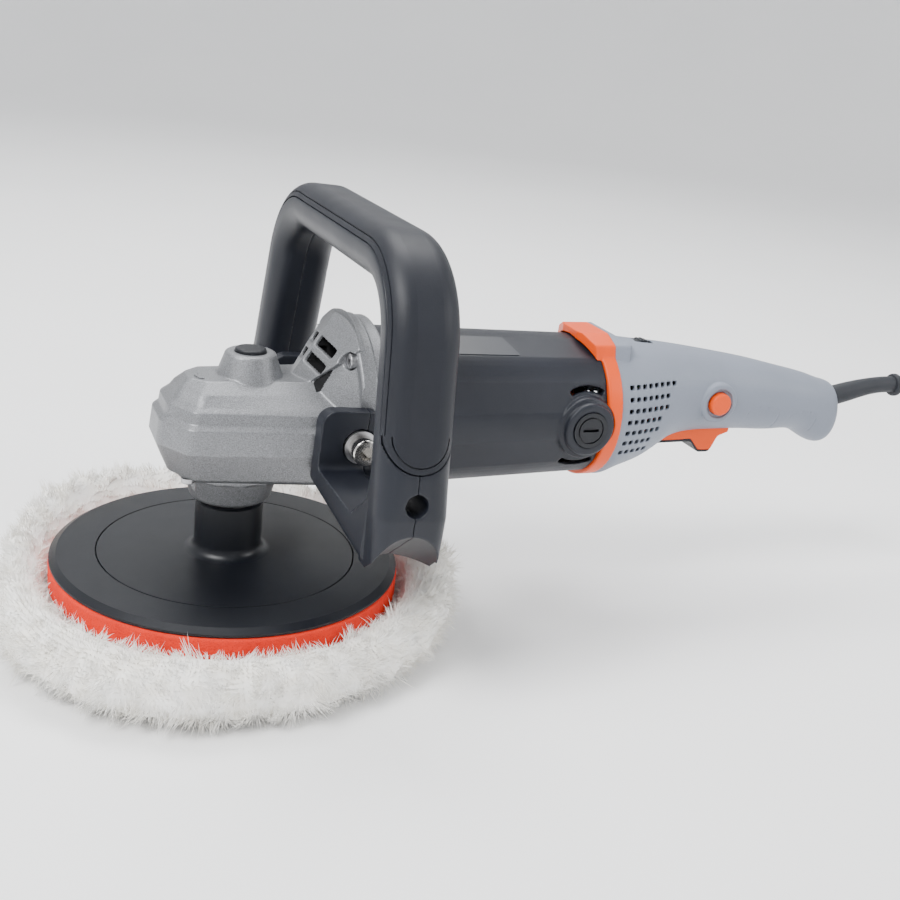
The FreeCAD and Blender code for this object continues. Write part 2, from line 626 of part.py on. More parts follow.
def make_armature():
    turned_body("armature_shaft", [
        ("shaft_front", "0"), ("shaft_front", "shaft_nose_radius"), ("34", "shaft_nose_radius"),
        ("34", "shaft_seat_radius"), ("front_bearing_rear", "shaft_seat_radius"),
        ("front_bearing_rear", "shaft_radius"),
        ("commutator_rear", "shaft_radius"), ("commutator_rear", "shaft_tail_radius"),
        ("shaft_rear", "shaft_tail_radius"), ("shaft_rear", "0"),
    ], "X")
    front = 14.2
    hexagon = [(4.2 * math.cos(math.radians(60 * k)),
                size("motor_height") + 4.2 * math.sin(math.radians(60 * k)))
               for k in range(6)]
    nut = slab("YZ", hexagon, front, front + 3.2)
    nut = nut.cut(rod((0, 0, size("motor_height")), (30, 0, size("motor_height")), size("shaft_nose_radius")))
    shaped("pinion_nut", nut)
    for name, bore in (("front_bearing", "shaft_seat_radius"), ("rear_bearing", "shaft_tail_radius")):
        inner = bore + " + running_gap"
        outer = name + "_radius"
        near = name + "_front"
        far = name + "_rear"
        turned_body(name, [
            (near, inner), (near, inner + " + 2"), (near + " + 1", inner + " + 2"),
            (near + " + 1", outer + " - 2"),
            (near, outer + " - 2"), (near, outer), (far, outer), (far, outer + " - 2"),
            (far + " - 1", outer + " - 2"), (far + " - 1", inner + " + 2"), (far, inner + " + 2"),
            (far, inner),
        ], "X")
    core = turned_body("armature_core", [
        ("core_front", "shaft_radius"), ("core_front", "core_radius"), ("core_rear", "core_radius"),
        ("core_rear", "shaft_radius"),
    ], "X")
    slot_sketch = polygon_sketch(core, "armature_slot", "YZ_Plane", [
        ("0 - 1", "core_radius - 7"), ("1", "core_radius - 7"), ("1", "core_radius + 1"),
        ("0 - 1", "core_radius + 1"),
    ])
    slot = core.newObject("PartDesign::Pocket", "armature_slot_cut")
    slot.Profile = slot_sketch
    slot.Type = "ThroughAll"
    slot.Midplane = True
    core.Tip = slot
    doc.recompute()
    slots = core.newObject("PartDesign::PolarPattern", "armature_slots")
    slots.Originals = [slot]
    slots.Axis = (origin_plane(core, "X_Axis"), [""])
    slots.Angle = 360
    slots.Occurrences = 12
    core.Tip = slots
    doc.recompute()
    ends = [motor_turned([(85.0, 6.0), (86.5, 17.0), (92.0, 20.0), (92.0, 6.0)]),
            motor_turned([(150.0, 6.0), (150.0, 20.0), (156.0, 18.0), (162.0, 11.0), (162.0, 6.0)])]
    shaped("armature_windings", Part.makeCompound(ends))
    commutator = motor_turned([
        (size("commutator_front"), 6.0), (size("commutator_front"), 15.5),
        (size("commutator_front") + 3, 15.5),
        (size("commutator_front") + 3, size("commutator_radius")),
        (size("commutator_rear"), size("commutator_radius")), (size("commutator_rear"), 6.0),
    ])
    groove = block((size("commutator_front") + 3, -0.3,
                    size("motor_height") + size("commutator_radius") - 1.2),
                   (size("commutator_rear") + 1, 0.3, size("motor_height") + size("commutator_radius") + 1))
    centre = Vector(0, 0, size("motor_height"))
    for tool in turned_copies(groove, centre, X_AXIS, 24):
        commutator = commutator.cut(tool)
    shaped("commutator", commutator)
    make_fan()


def make_fan():
    front = size("fan_front")
    back = size("fan_rear")
    radius = size("fan_radius")
    hub = motor_turned([(front, 6.0), (front, 10.0), (back - 1.6, 12.0), (back - 1.6, radius),
                        (back, radius), (back, 6.0)])
    blade = block((front + 2, -0.8, size("motor_height") + 9.0),
                  (back - 1.0, 0.8, size("motor_height") + radius - 0.5))
    centre = Vector(0, 0, size("motor_height"))
    shaped("cooling_fan", hub.fuse(turned_copies(blade, centre, X_AXIS, 18)).removeSplitter())


def make_stator():
    front = size("core_front")
    back = size("core_rear")
    outer = size("stator_radius")
    core = motor_turned([(front, size("stator_bore")), (front, outer), (back, outer),
                         (back, size("stator_bore"))])
    nests = [motor_turned([(80, 20.0), (80, 31.0), (170, 31.0), (170, 20.0)], 52.0,
                          first) for first in (64.0, 244.0)]
    for nest in nests:
        core = core.cut(nest)
    shaped("stator_core", core)
    coils = [motor_turned([(86, 23.4), (86, 30.8), (157, 30.8), (157, 23.4)], 50.0,
                          first) for first in (65.0, 245.0)]
    shaped("field_windings", Part.makeCompound(coils))
    turned_body("air_baffle", [
        ("84", "31.6"), ("84", "38"), ("86", "38"), ("86", "34"), ("91", "34"), ("91", "31.6"),
    ], "X")


def make_brushes():
    x = size("brush_x")
    z = size("brush_height")
    holder = block((x - 6, -36.0, z - 6), (x + 6, -16.5, z + 6)).cut(
        block((x - 3.6, -37.0, z - 4.1), (x + 3.6, -16.0, z + 4.1)))
    shaped("brush_holders", Part.makeCompound(both_sides(holder)))
    touch = math.sqrt((size("commutator_radius") + 0.05) ** 2 - 1.6 ** 2) + 0.1
    carbon = block((x - 3.5, -28.0, z - 4.0), (x + 3.5, -touch + 2.0, z + 4.0))
    height = size("motor_height")
    carbon = carbon.cut(rod((x - 10, 0, height), (x + 10, 0, height), size("commutator_radius") + 0.05))
    shaped("carbon_brushes", Part.makeCompound(both_sides(carbon)))
    spring = coil_spring((x, -28.4, z), (0, -1, 0), 8.2, 2.6, 0.35, 5)
    shaped("brush_springs", Part.makeCompound(both_sides(spring)))

    radius = size("brush_cap_radius")
    face = size("brush_boss_face")
    cap = rod((x, -37.0, z), (x, -face - 0.6, z), radius)
    cap = cap.cut(ring((x, -face + 0.3, z), (x, -face - 1.0, z), 7.4, 6.6))
    cap = cap.cut(block((x - 4.5, -face - 1.0, z - 0.8), (x + 4.5, -face + 1.8, z + 0.8)))
    shaped("brush_caps", Part.makeCompound(both_sides(cap)))


# ---------------------------------------------------------------- motor housing, band and label

def arc_vent(span_middle, radius, half_width, span):
    """A curved slot concentric with the near brush boss, cut from the side."""
    x = size("brush_x")
    z = size("brush_height")
    z -= 1.4
    sector = ring((x, -60, z), (x, -20, z), radius + half_width, radius - half_width)
    wedge_reach = radius * 2
    left = math.radians(span_middle - span / 2)
    right = math.radians(span_middle + span / 2)
    wedge = slab("XZ", [(x, z), (x + wedge_reach * math.cos(left), z + wedge_reach * math.sin(left)),
                        (x + wedge_reach * math.cos(right), z + wedge_reach * math.sin(right))], -60, -20)
    return sector.common(wedge)


def facet_prism(front_x, rear_x, front_reach, rear_reach):
    """Eight long flats round the motor, each a shallow cut that leaves the round between two creases."""
    height = size("motor_height")
    wires = []
    for x, reach in ((front_x, front_reach), (rear_x, rear_reach)):
        corner = reach / math.cos(math.radians(22.5))
        points = [Vector(x, corner * math.sin(math.radians(45 * k)),
                         height + corner * math.cos(math.radians(45 * k)))
                  for k in range(8)]
        wires.append(Part.makePolygon(points + points[:1]))
    return Part.makeLoft(wires, True, True)


def make_motor_housing():
    front = size("bracket_rear")
    back = size("motor_rear")
    front_radius = size("motor_front_radius")
    back_radius = size("motor_rear_radius")
    wall = size("motor_wall")
    body = motor_turned([(front, 0.0), (front, front_radius), (back, back_radius), (back, 0.0)])
    body = body.common(facet_prism(front, back, front_radius * 0.978, back_radius * 0.978))
    x = size("brush_x")
    z = size("brush_height")
    face = size("brush_boss_face")
    boss = rod((x, -30.0, z), (x, -face, z), size("brush_boss_radius"))
    rim = [edge for edge in boss.Edges if edge.BoundBox.YMax < -face + 0.01 and len(edge.Vertexes) == 1]
    foot = rod((x - 0.6, -24.0, z), (x - 0.6, -40.0, z), size("brush_foot_radius"))
    foot_rim = [edge for edge in foot.Edges if edge.BoundBox.YMax < -39.9 and len(edge.Vertexes) == 1]
    boss = boss.makeFillet(1.4, rim).fuse(foot.makeFillet(1.2, foot_rim))
    body = body.fuse(both_sides(boss))
    inner = motor_turned([(front - 1, 0.0), (front - 1, front_radius - wall), (back - 6, back_radius - wall),
                          (back - 6, 0.0)])
    body = body.cut(inner)
    seat = size("rear_bearing_radius")
    body = body.cut(motor_turned([(back - 7, 0.0), (back - 7, 8.0), (size("rear_bearing_front"), 8.0),
                                  (size("rear_bearing_front"), seat), (back + 1, seat), (back + 1, 0.0)]))
    window = motor_turned([(back - 8, 15.0), (back + 1, 15.0), (back + 1, 32.0), (back - 8, 32.0)], 62.0,
                          -31.0)
    centre = Vector(0, 0, size("motor_height"))
    for tool in turned_copies(window, centre, X_AXIS, 4, 45.0):
        body = body.cut(tool)
    tools = both_sides(rod((x, -60, z), (x, -30, z), size("brush_cap_radius") + 0.02))
    tools += both_sides(block((x - 6.0, -37.0, z - 6.0), (x + 6.0, -16.0, z + 6.0)))
    for middle in (90.0, 270.0):
        tools += both_sides(arc_vent(middle, 21.0, 1.5, 56.0))
    for tool in tools:
        body = body.cut(tool)
    for y, z in housing_screw_places():
        lug = rod((front, y, z), (front + 10, y, z), 4.2)
        lug = lug.common(motor_turned([(front, 0), (front, front_radius - 0.2),
                                       (front + 12, front_radius - 0.6),
                                       (front + 12, 0)]))
        body = body.fuse(lug).cut(rod((front - 1, y, z), (front + 9.4, y, z), 2.0))
    shaped("motor_housing", body.removeSplitter())


def band_block():
    """The raised block on top of the band: a flat-topped ridge with sloping shoulders."""
    height = size("motor_height")
    ridge = [(-24.0, height + 29.0, 0), (-22.0, height + 38.4, 1.5), (-11.5, height + 42.8, 4.0),
             (11.5, height + 42.8, 4.0), (22.0, height + 38.4, 1.5), (24.0, height + 29.0, 0)]
    return slab("YZ", ridge, 176.0, 216.0)


def band_plan(front_middle, front_side, back_middle, back_side):
    """Chevron in plan that cuts the raised block: further forward at the middle than at the sides."""
    return [(front_middle, -8.0), (front_side, -26.0), (back_side, -26.0), (back_middle, -8.0),
            (back_middle, 8.0), (back_side, 26.0), (front_side, 26.0), (front_middle, 8.0)]


def make_trim_ring():
    front = size("motor_rear")
    back = size("band_rear")
    radius = size("band_radius")
    band = motor_turned([(front, 30.5), (front, radius - 0.6), (front + 0.6, radius), (back, radius),
                         (back, 30.5)])
    cap = band_block().common(slab("XY", band_plan(181.0, 187.5, back, back), 130, 165))
    cap = cap.cut(motor_turned([(170, 0.0), (170, 40.0), (front, size("motor_rear_radius") + 0.1),
                                (front, 31.0), (220, 31.0), (220, 0.0)]))
    band = band.fuse(cap).cut(motor_turned([(front - 1, 0), (front - 1, 30.5), (back + 1, 30.5),
                                            (back + 1, 0)]))
    x = size("brush_x") - 0.6
    z = size("brush_height")
    band = band.cut(both_sides(rod((x, -60, z), (x, -25, z), size("brush_foot_radius") + 0.05)))
    shaped("trim_ring", band.removeSplitter())


def make_name_plate():
    """Plain slanted plate on the near upper flat of the motor housing."""
    height = size("motor_height")
    front_x = 84.0
    tilt = Rotation(X_AXIS, 22.5)
    span = size("motor_rear") - size("bracket_rear")
    slope = (size("motor_front_radius") - size("motor_rear_radius")) * 0.978 / span
    reach = size("motor_front_radius") * 0.978 - slope * (front_x - size("bracket_rear"))
    outline = [(0.0, -7.4, 1.0), (58.5, -7.4, 1.0), (53.0, 7.4, 1.0), (0.0, 7.4, 1.0)]
    plate = slab("XY", outline, 0.0, 0.35)
    plate.rotate(Vector(0, 0, 0), Y_AXIS, math.degrees(math.atan(slope)))
    plate.translate(Vector(front_x, 0, reach))
    plate.rotate(Vector(0, 0, 0), X_AXIS, tilt.Angle * 180 / math.pi)
    plate.translate(Vector(0, 0, height))
    shaped("name_plate", plate)


# ---------------------------------------------------------------- rear housing and its controls

# Sections of the rear housing: x, middle height, half height, half width.
TAIL_SECTIONS = [
    (198.0, 113.4, 38.8, 38.8),
    (207.0, 113.2, 38.0, 37.6),
    (221.0, 114.6, 35.0, 34.0),
    (233.0, 116.8, 31.8, 30.0),
    (243.0, 119.6, 28.0, 27.2),
    (254.0, 120.8, 25.4, 25.2),
    (277.0, 119.8, 23.0, 22.8),
    (301.0, 117.6, 21.2, 20.8),
    (322.0, 115.0, 19.4, 19.4),
    (338.0, 113.0, 18.0, 18.2),
    (348.0, 109.4, 19.0, 17.6),
    (356.0, 106.4, 19.6, 16.8),
    (362.0, 105.4, 19.0, 15.4),
    (365.0, 105.2, 16.4, 12.6),
]


# Weights of a half section's five poles: the middle of each quarter bulges a little more than an ellipse.
SECTION_WEIGHTS = [1.0, 0.74, 1.0, 0.74, 1.0]


def half_section(x, middle, half_height, half_width, past_middle):
    """The -Y half of a rounded section: half an ellipse from top to bottom, closed past the middle plane."""
    top = Vector(x, 0, middle + half_height)
    bottom = Vector(x, 0, middle - half_height)
    side = Vector(x, -half_width, middle)
    poles = [top, Vector(x, -half_width, top.z), side, Vector(x, -half_width, bottom.z), bottom]
    curve = Part.BSplineCurve()
    curve.buildFromPolesMultsKnots(poles, [3, 2, 3], [0.0, 0.5, 1.0], False, 2, SECTION_WEIGHTS)
    edges = [curve.toShape()]
    corners = [bottom, top]
    if past_middle > 0:
        corners = [bottom, bottom + Y_AXIS * past_middle, top + Y_AXIS * past_middle, top]
    edges += [Part.LineSegment(corners[k], corners[k + 1]).toShape() for k in range(len(corners) - 1)]
    return Part.Wire(edges)


def tail_half(inset, sections, past_middle):
    """The -Y half of the rear housing's body, shrunk by an inset."""
    wires = [half_section(x, middle, half_height - inset, half_width - inset, past_middle)
             for x, middle, half_height, half_width in sections]
    return Part.makeLoft(wires, True, False)


def vent_holes():
    """Seven rows of small square vents, each row shorter than the one above."""
    holes = []
    for row_number in range(7):
        height = 131.8 - 6.0 * row_number
        count = 8 - (row_number + 1) // 2
        for column in range(count):
            x = 204.0 - 0.3 * row_number + 4.4 * column
            holes.append(block((x, -60, height - 1.3), (x + 3.0, -10, height + 1.3)))
    return holes


def trigger_outline():
    """Side view of the trigger: sloping nose, long top, rounded lobe near the rear."""
    return [
        (241.0, 91.0, 0.8), (247.4, 102.0, 1.0), (245.7, 111.0, 2.0), (253.7, 111.0, 2.0),
        (255.7, 104.5, 1.0),
        (290.6, 104.5, 1.5), (290.6, 96.5, 1.5), (283.6, 94.0, 4.0), (279.6, 84.6, 4.5), (270.6, 84.6, 4.5),
        (265.6, 91.4, 5.0),
    ]


# (x, z) of the screws that join the rear housing's two halves.
TAIL_SCREWS = [(209.0, 86.0), (244.0, 138.0), (304.0, 130.0), (312.0, 103.5), (351.0, 97.0)]


def grip_marks():
    """Two shallow arch-shaped grooves in the near side of the grip, open at its lower edge."""
    line = 0.7
    skin = tail_half(0.0, TAIL_SECTIONS, 0.0).cut(tail_half(0.6, TAIL_SECTIONS, 0.0))
    marks = []
    for front, back, top in ((293.0, 317.0, 115.5), (325.0, 346.0, 111.5)):
        outer = slab("XZ", [(front, 60.0), (front, top, 5.0), (back, top - 1.5, 5.0), (back, 60.0)], -40, -12)
        inner = slab("XZ", [(front + line, 50.0), (front + line, top - line, 4.3),
                            (back - line, top - 1.5 - line, 4.3), (back - line, 50.0)], -41, -11)
        marks.append(outer.cut(inner).common(skin))
    return marks


def make_tail():
    wall = size("grip_wall")
    radius = size("band_radius")
    near = tail_half(0.0, TAIL_SECTIONS, 0.0)
    hollow = tail_half(wall, TAIL_SECTIONS[:-2], 4.0)
    lip = motor_turned([(size("band_rear") - 1, 0), (size("band_rear") - 1, 36.0),
                        (size("band_rear") + 3, 36.0),
                        (size("band_rear") + 3, 0)])
    block_rear = band_block().common(slab("XY", band_plan(198.0, 198.0, 216.0, 205.0), 130, 165))
    ramp = slab("XZ", [(199.0, 160.0), (199.0, 156.6), (214.0, 149.6), (230.0, 140.0), (230.0, 160.0)], -40,
                40)
    under = motor_turned([(180, 0), (180, radius + 0.05), (198.0, radius + 0.05), (198.0, 34.0),
                          (220, 34.0), (220, 0)])
    block_rear = block_rear.cut([ramp, under]).common(block((150, -60, 40), (400, 0, 180)))
    near = near.fuse(block_rear)

    dial_gap = size("dial_half") + 0.4
    dial_x = size("dial_x")
    dial_z = size("dial_z")
    dial_slot = rod((dial_x, -dial_gap, dial_z), (dial_x, dial_gap, dial_z), size("dial_radius") + 0.4)
    slot_half = size("trigger_half") + 0.4
    trigger_slot = slab("XZ", [(239.6, 70.0), (239.6, 89.6), (246.4, 101.4), (243.7, 113.0), (292.8, 113.0),
                               (292.8, 70.0)], -slot_half, slot_half)
    near = near.cut([hollow, lip, dial_slot, trigger_slot] + vent_holes())
    posts = Part.makeCompound([rod((x, -40, z), (x, 0, z), 3.6) for x, z in TAIL_SCREWS])
    near = near.fuse(posts.common(tail_half(0.6, TAIL_SECTIONS, 0.0)))
    near = near.cut([trigger_pin_shape(), rod((354, 0, 112.7), (380, 0, 115.6), 6.4)])
    far = near.mirror(Vector(0, 0, 0), Y_AXIS)

    x = size("lock_on_x")
    z = size("lock_on_z")
    collar = rod((x, -18, z), (x, -26.2, z), 11.6)
    rim = [edge for edge in collar.Edges if edge.BoundBox.YMax < -26.1 and len(edge.Vertexes) == 1]
    near = near.fuse(collar.makeFillet(1.6, rim))
    near = near.cut(grip_marks())
    near = near.cut([rod((x, -40, z), (x, -10, z), size("lock_on_radius") + 0.08),
                     rod((x, -24.6, z), (x, -40, z), 8.4)])
    near = near.cut([rod((x, -10, z), (x, 1, z), 1.6) for x, z in TAIL_SCREWS])
    far = far.cut([rod((x, -1, z), (x, 60, z), 1.65) for x, z in TAIL_SCREWS]
                  + [rod((x, 12.0, z), (x, 60, z), 3.0) for x, z in TAIL_SCREWS])
    shaped("rear_housing_left", near.removeSplitter())
    shaped("rear_housing_right", far.removeSplitter())

    screw = socket_screw(2.9, 2.2, 1.6, 21.0, 1.3)
    screws = [pointed(screw, (0, 1, 0), (x, 12.0, z)) for x, z in TAIL_SCREWS]
    shaped("rear_housing_screws", Part.makeCompound(screws))


def trigger_pin_shape():
    x = size("trigger_pivot_x")
    z = size("trigger_pivot_z")
    return rod((x, -17.5, z), (x, 17.5, z), 2.0)


def make_controls():
    half = size("trigger_half")
    trigger = slab("XZ", trigger_outline(), -half, half)
    split = [(236.0, 70.0), (236.0, 92.2), (265.2, 92.8), (271.4, 86.0), (281.6, 85.6), (284.4, 88.0),
             (286.0, 70.0)]
    lower = slab("XZ", split, -half - 1, half + 1)
    pin_gap = rod((size("trigger_pivot_x"), -30, size("trigger_pivot_z")),
                  (size("trigger_pivot_x"), 30, size("trigger_pivot_z")), 2.0 + size("running_gap"))
    shaped("trigger", trigger.cut(lower).cut(pin_gap))
    shaped("trigger_pad", trigger.common(lower))
    shaped("trigger_pin", trigger_pin_shape())
    shaped("trigger_spring", coil_spring((284.6, 0, 104.95), (0, 0, 1), 8.2, 2.6, 0.4, 5))

    switch = block((257.0, -9.0, 110.2), (280.6, 7.0, 114.0)).fuse(block((258.6, -9.0, 113.6),
                                                                         (294.6, 7.0, 129.0)))
    shaped("switch_module", switch.removeSplitter())

    x = size("lock_on_x")
    z = size("lock_on_z")
    face = size("lock_on_face")
    button = rod((x, -face, z), (x, -16.0, z), size("lock_on_radius"))
    rim = [edge for edge in button.Edges if edge.BoundBox.YMax < -face + 0.01 and len(edge.Vertexes) == 1]
    shaped("lock_on_button", button.makeFillet(1.6, rim))

    dial_x = size("dial_x")
    dial_z = size("dial_z")
    half = size("dial_half")
    wheel = rod((dial_x, -half, dial_z), (dial_x, half, dial_z), size("dial_radius"))
    notch = rod((dial_x + size("dial_radius") + 0.35, -half - 1, dial_z),
                (dial_x + size("dial_radius") + 0.35, half + 1, dial_z), 0.8)
    for tool in turned_copies(notch, Vector(dial_x, 0, dial_z), Y_AXIS, 24):
        wheel = wheel.cut(tool)
    axle = rod((dial_x, -half - 3.5, dial_z), (dial_x, half + 3.5, dial_z), 2.0)
    shaped("speed_dial", wheel.fuse(axle).removeSplitter())
    board = block((214.0, -17.0, 122.0), (246.0, 17.0, 123.6))
    for side in (-1, 1):
        inner = side * (half + 1.0)
        outer = side * (half + 4.0)
        post = block((dial_x - 4, min(inner, outer), 123.6), (dial_x + 4, max(inner, outer), dial_z + 3.5))
        board = board.fuse(post)
    board = board.cut(rod((dial_x, -20, dial_z), (dial_x, 20, dial_z), 2.0 + size("running_gap")))
    shaped("speed_board", board.removeSplitter())
    clamp = block((336.0, -9.0, 103.0), (343.0, 9.0, 108.4)).cut(rod((330, 0, 112.0), (350, 0, 112.0), 4.2))
    shaped("cable_clamp", clamp)


# ---------------------------------------------------------------- D-handle

def tilt_handle(shape):
    """Lean a shape modelled upright into the handle's plane."""
    placed = shape.copy()
    pivot = Vector(0, 0, size("handle_z"))
    placed.rotate(pivot, Y_AXIS, size("handle_tilt_angle"))
    placed.translate(Vector(size("handle_x"), 0, 0))
    return placed


def handle_path():
    """Centre line of the loop (near leg up, top bar, far leg down), its near foot and the leg's direction."""
    foot = Vector(0, -size("handle_foot_y"), size("handle_foot_z"))
    corner = Vector(0, -size("handle_top_y"), size("handle_top_z"))
    bend = size("handle_bend")
    leg = corner.sub(foot).normalize()
    half_turn = leg.getAngle(Y_AXIS) / 2
    reach = bend * math.tan(half_turn)
    bend_in = corner.sub(leg * reach)
    bend_out = corner.add(Y_AXIS * reach)
    inward = Y_AXIS.sub(leg).normalize()
    arc_top = corner.add(inward * (bend / math.cos(half_turn) - bend))
    far = [Vector(point.x, -point.y, point.z) for point in (foot, bend_in, arc_top, bend_out)]
    edges = [
        Part.LineSegment(foot, bend_in), Part.Arc(bend_in, arc_top, bend_out),
        Part.LineSegment(bend_out, far[3]),
        Part.Arc(far[3], far[2], far[1]), Part.LineSegment(far[1], far[0]),
    ]
    return Part.Wire([edge.toShape() for edge in edges]), foot, leg


def swept_handle(corners):
    """Sweep an outline of (depth, outward, radius) along the loop."""
    path, foot, leg = handle_path()
    outward = Vector(0, -leg.z, leg.y)
    profile = rounded_wire(corners, lambda u, v: foot.add(X_AXIS * u).add(outward * v))
    return path.makePipeShell([profile], True, False)


def oblong(half_depth, half_width, corner):
    return [(-half_depth, -half_width, corner), (half_depth, -half_width, corner),
            (half_depth, half_width, corner), (-half_depth, half_width, corner)]


def leg_end(radius):
    """Tool at each foot of the loop that rounds the grip's lower end into a U of that radius."""
    foot, leg = handle_path()[1:]
    outward = Vector(0, -leg.z, leg.y)
    centre = foot.add(leg * (size("handle_half_depth") + 1.0))
    half = X_AXIS * 20.0
    face = Part.Face(Part.makePolygon([foot.sub(half), foot.add(half), centre.add(half), centre.sub(half),
                                       foot.sub(half)]))
    drum = Part.makeCylinder(radius, 60.0, centre.sub(outward * 10.0), outward)
    return both_sides(face.extrude(outward * 30.0).cut(drum))


def handle_foot():
    """Near foot of the handle: the leg carried down, the strut to the gear head and the bolted pad."""
    foot, leg = handle_path()[1:]
    outward = Vector(0, -leg.z, leg.y)
    depth = size("handle_half_depth")
    outline = oblong(depth, size("handle_half_width"), size("handle_round"))
    wires = [rounded_wire(outline, lambda u, v: foot.add(X_AXIS * u).add(outward * v))]
    for height, half_wide, half_deep, corner in ((102.0, 12.4, 17.0, 8.0), (74.8, 12.4, 15.4, 5.0)):
        wires.append(rounded_wire(oblong(half_deep, half_wide, corner),
                                  lambda u, v, level=height: Vector(u, -108.6 - v, level)))
    leg_foot = Part.makeLoft(wires, True, True)
    pad = rounded_wire([(-23.6, 88.4, 5.0), (7.6, 88.4, 5.0), (7.6, 127.0, 7.0), (-23.6, 127.0, 7.0)],
                       at_plane("XZ", -size("flange_half_width") - 0.02))
    root = rounded_wire([(-17.0, 75.2, 5.0), (17.0, 75.2, 5.0), (17.0, 127.0, 7.0), (-17.0, 127.0, 7.0)],
                        at_plane("XZ", -106.0))
    arm = Part.makeLoft([pad, root], True, True)
    pocket = slab("YZ", [(-50.0, 98.5, 3.0), (-50.0, 140.0, 0.0), (-112.0, 140.0, 0.0), (-112.0, 112.0, 0.0),
                         (-97.4, 100.0, 3.0), (-90.5, 93.0, 5.0)], -40.0, 40.0)
    solid = arm.cut(pocket).fuse(leg_foot)
    scallop = rod((0, -76.8, 37.0), (0, -155.6, 98.6), 18.3)
    return solid.cut(scallop)


# (y, z) of the screws that hold the handle's two shells together, in the upright handle.
HANDLE_SCREWS = [(-108.0, 96.0), (108.0, 96.0), (-96.0, 164.0), (96.0, 164.0), (-30.0, 204.5), (30.0, 204.5)]


def make_handle():
    depth = size("handle_half_depth")
    width = size("handle_half_width")
    rounding = size("handle_round")
    skin = size("grip_skin")
    loop = swept_handle(oblong(depth, width, rounding))
    sleeve = loop.cut(swept_handle(oblong(depth - skin, width - skin, rounding - skin)))
    edge = 3.6
    gap = 0.5
    reach = depth + 4
    outer = [swept_handle([(-reach, side, 0), (reach, side, 0), (reach, width + 4, 0),
                           (-reach, width + 4, 0)])
             for side in (edge + gap, edge)]
    grip = sleeve.common(outer[0]).cut(leg_end(depth - 1.2))
    recess = sleeve.common(outer[1]).cut(leg_end(depth - 0.7))
    groove = [swept_handle([(-reach, side, 0), (reach, side, 0), (reach, width + 4, 0),
                            (-reach, width + 4, 0)])
              .cut(leg_end(depth - back)) for side, back in ((6.3, 3.6), (6.9, 4.2))]
    layer = loop.cut(swept_handle(oblong(depth - 0.8, width - 0.8, rounding - 0.8)))
    grip = grip.cut(layer.common(groove[0]).cut(groove[1]))
    shells = tilt_handle(loop.cut(recess).fuse(both_sides(handle_foot())))
    grip = tilt_handle(grip)

    bolt_x = size("bolt_x")
    bolt_z = size("bolt_z")
    bores = [rod((bolt_x, -49, bolt_z), (bolt_x, -52, bolt_z), 8.6),
             rod((bolt_x, -40, bolt_z), (bolt_x, -51, bolt_z), size("bolt_radius")),
             rod((bolt_x + 3.0, -94, bolt_z - 1.5), (bolt_x + 3.0, -140, bolt_z - 1.5), 5.2)]
    shells = shells.cut([tool for bore in bores for tool in both_sides(bore)])
    screw = socket_screw(3.0, 2.4, 1.7, 16.0, 1.4)
    screws = []
    seats = []
    for y, z in HANDLE_SCREWS:
        seats.append(tilt_handle(rod((9.0, y, z), (30.0, y, z),
                                     3.2).fuse(rod((-7.2, y, z), (12.0, y, z), 1.7))))
        screws.append(tilt_handle(pointed(screw, (1, 0, 0), (9.0, y, z))))
    shells = shells.cut(seats)
    for name, span in (("handle_front_shell", (-60.0, 0.0)), ("handle_rear_shell", (0.0, 60.0))):
        half = tilt_handle(block((span[0], -160, 40), (span[1], 160, 260)))
        shaped(name, shells.common(half).removeSplitter())
    shaped("handle_grip", grip.cut(seats).removeSplitter())
    shaped("handle_screws", Part.makeCompound(screws))

    bolt = socket_screw(size("bolt_head_radius"), 8.2, size("bolt_radius"), 26.0, 3.6)
    bolts = both_sides(pointed(bolt, (0, -1, 0), (bolt_x, -51.6, bolt_z)))
    shaped("handle_bolts", Part.makeCompound(bolts))
    washer = ring((bolt_x, -50.0, bolt_z), (bolt_x, -51.6, bolt_z), 8.2, size("bolt_radius"))
    shaped("handle_washers", Part.makeCompound(both_sides(washer)))


# ---------------------------------------------------------------- strain relief and mains cord

def make_strain_relief():
    """Tapered boot: flange inside the housing, slender curved body, flared end ring."""
    stations = [(346.0, 112.2, 4.2), (354.0, 112.4, 4.8), (370.0, 114.8, 6.0), (391.0, 119.4, 5.4),
                (405.0, 121.2, 5.0), (size("boot_tip_x"), size("boot_tip_z"), 4.9)]
    wires = []
    for index, (x, z, radius) in enumerate(stations):
        before = stations[max(index - 1, 0)]
        after = stations[min(index + 1, len(stations) - 1)]
        along = Vector(after[0] - before[0], 0, after[1] - before[1])
        wires.append(Part.Wire([Part.makeCircle(radius, Vector(x, 0, z), along)]))
    boot = Part.makeLoft(wires, True, False)
    tip = Vector(size("boot_tip_x"), 0, size("boot_tip_z"))
    start = (tip.x - 4.0, 0, tip.z)
    rim = rod(start, (tip.x, 0, tip.z), 7.0)
    rim = rim.makeFillet(1.5, [edge for edge in rim.Edges if len(edge.Vertexes) == 1 and hasattr(edge.Curve,
                                                                                                 "Radius")])
    boot = boot.cut(block((tip.x, -20, 100), (tip.x + 20, 20, 140)))
    flange = rod((352.0, 0, 112.4), (355.3, 0, 112.6), 8.4)
    shaped("strain_relief", boot.fuse([rim, flange]).removeSplitter())


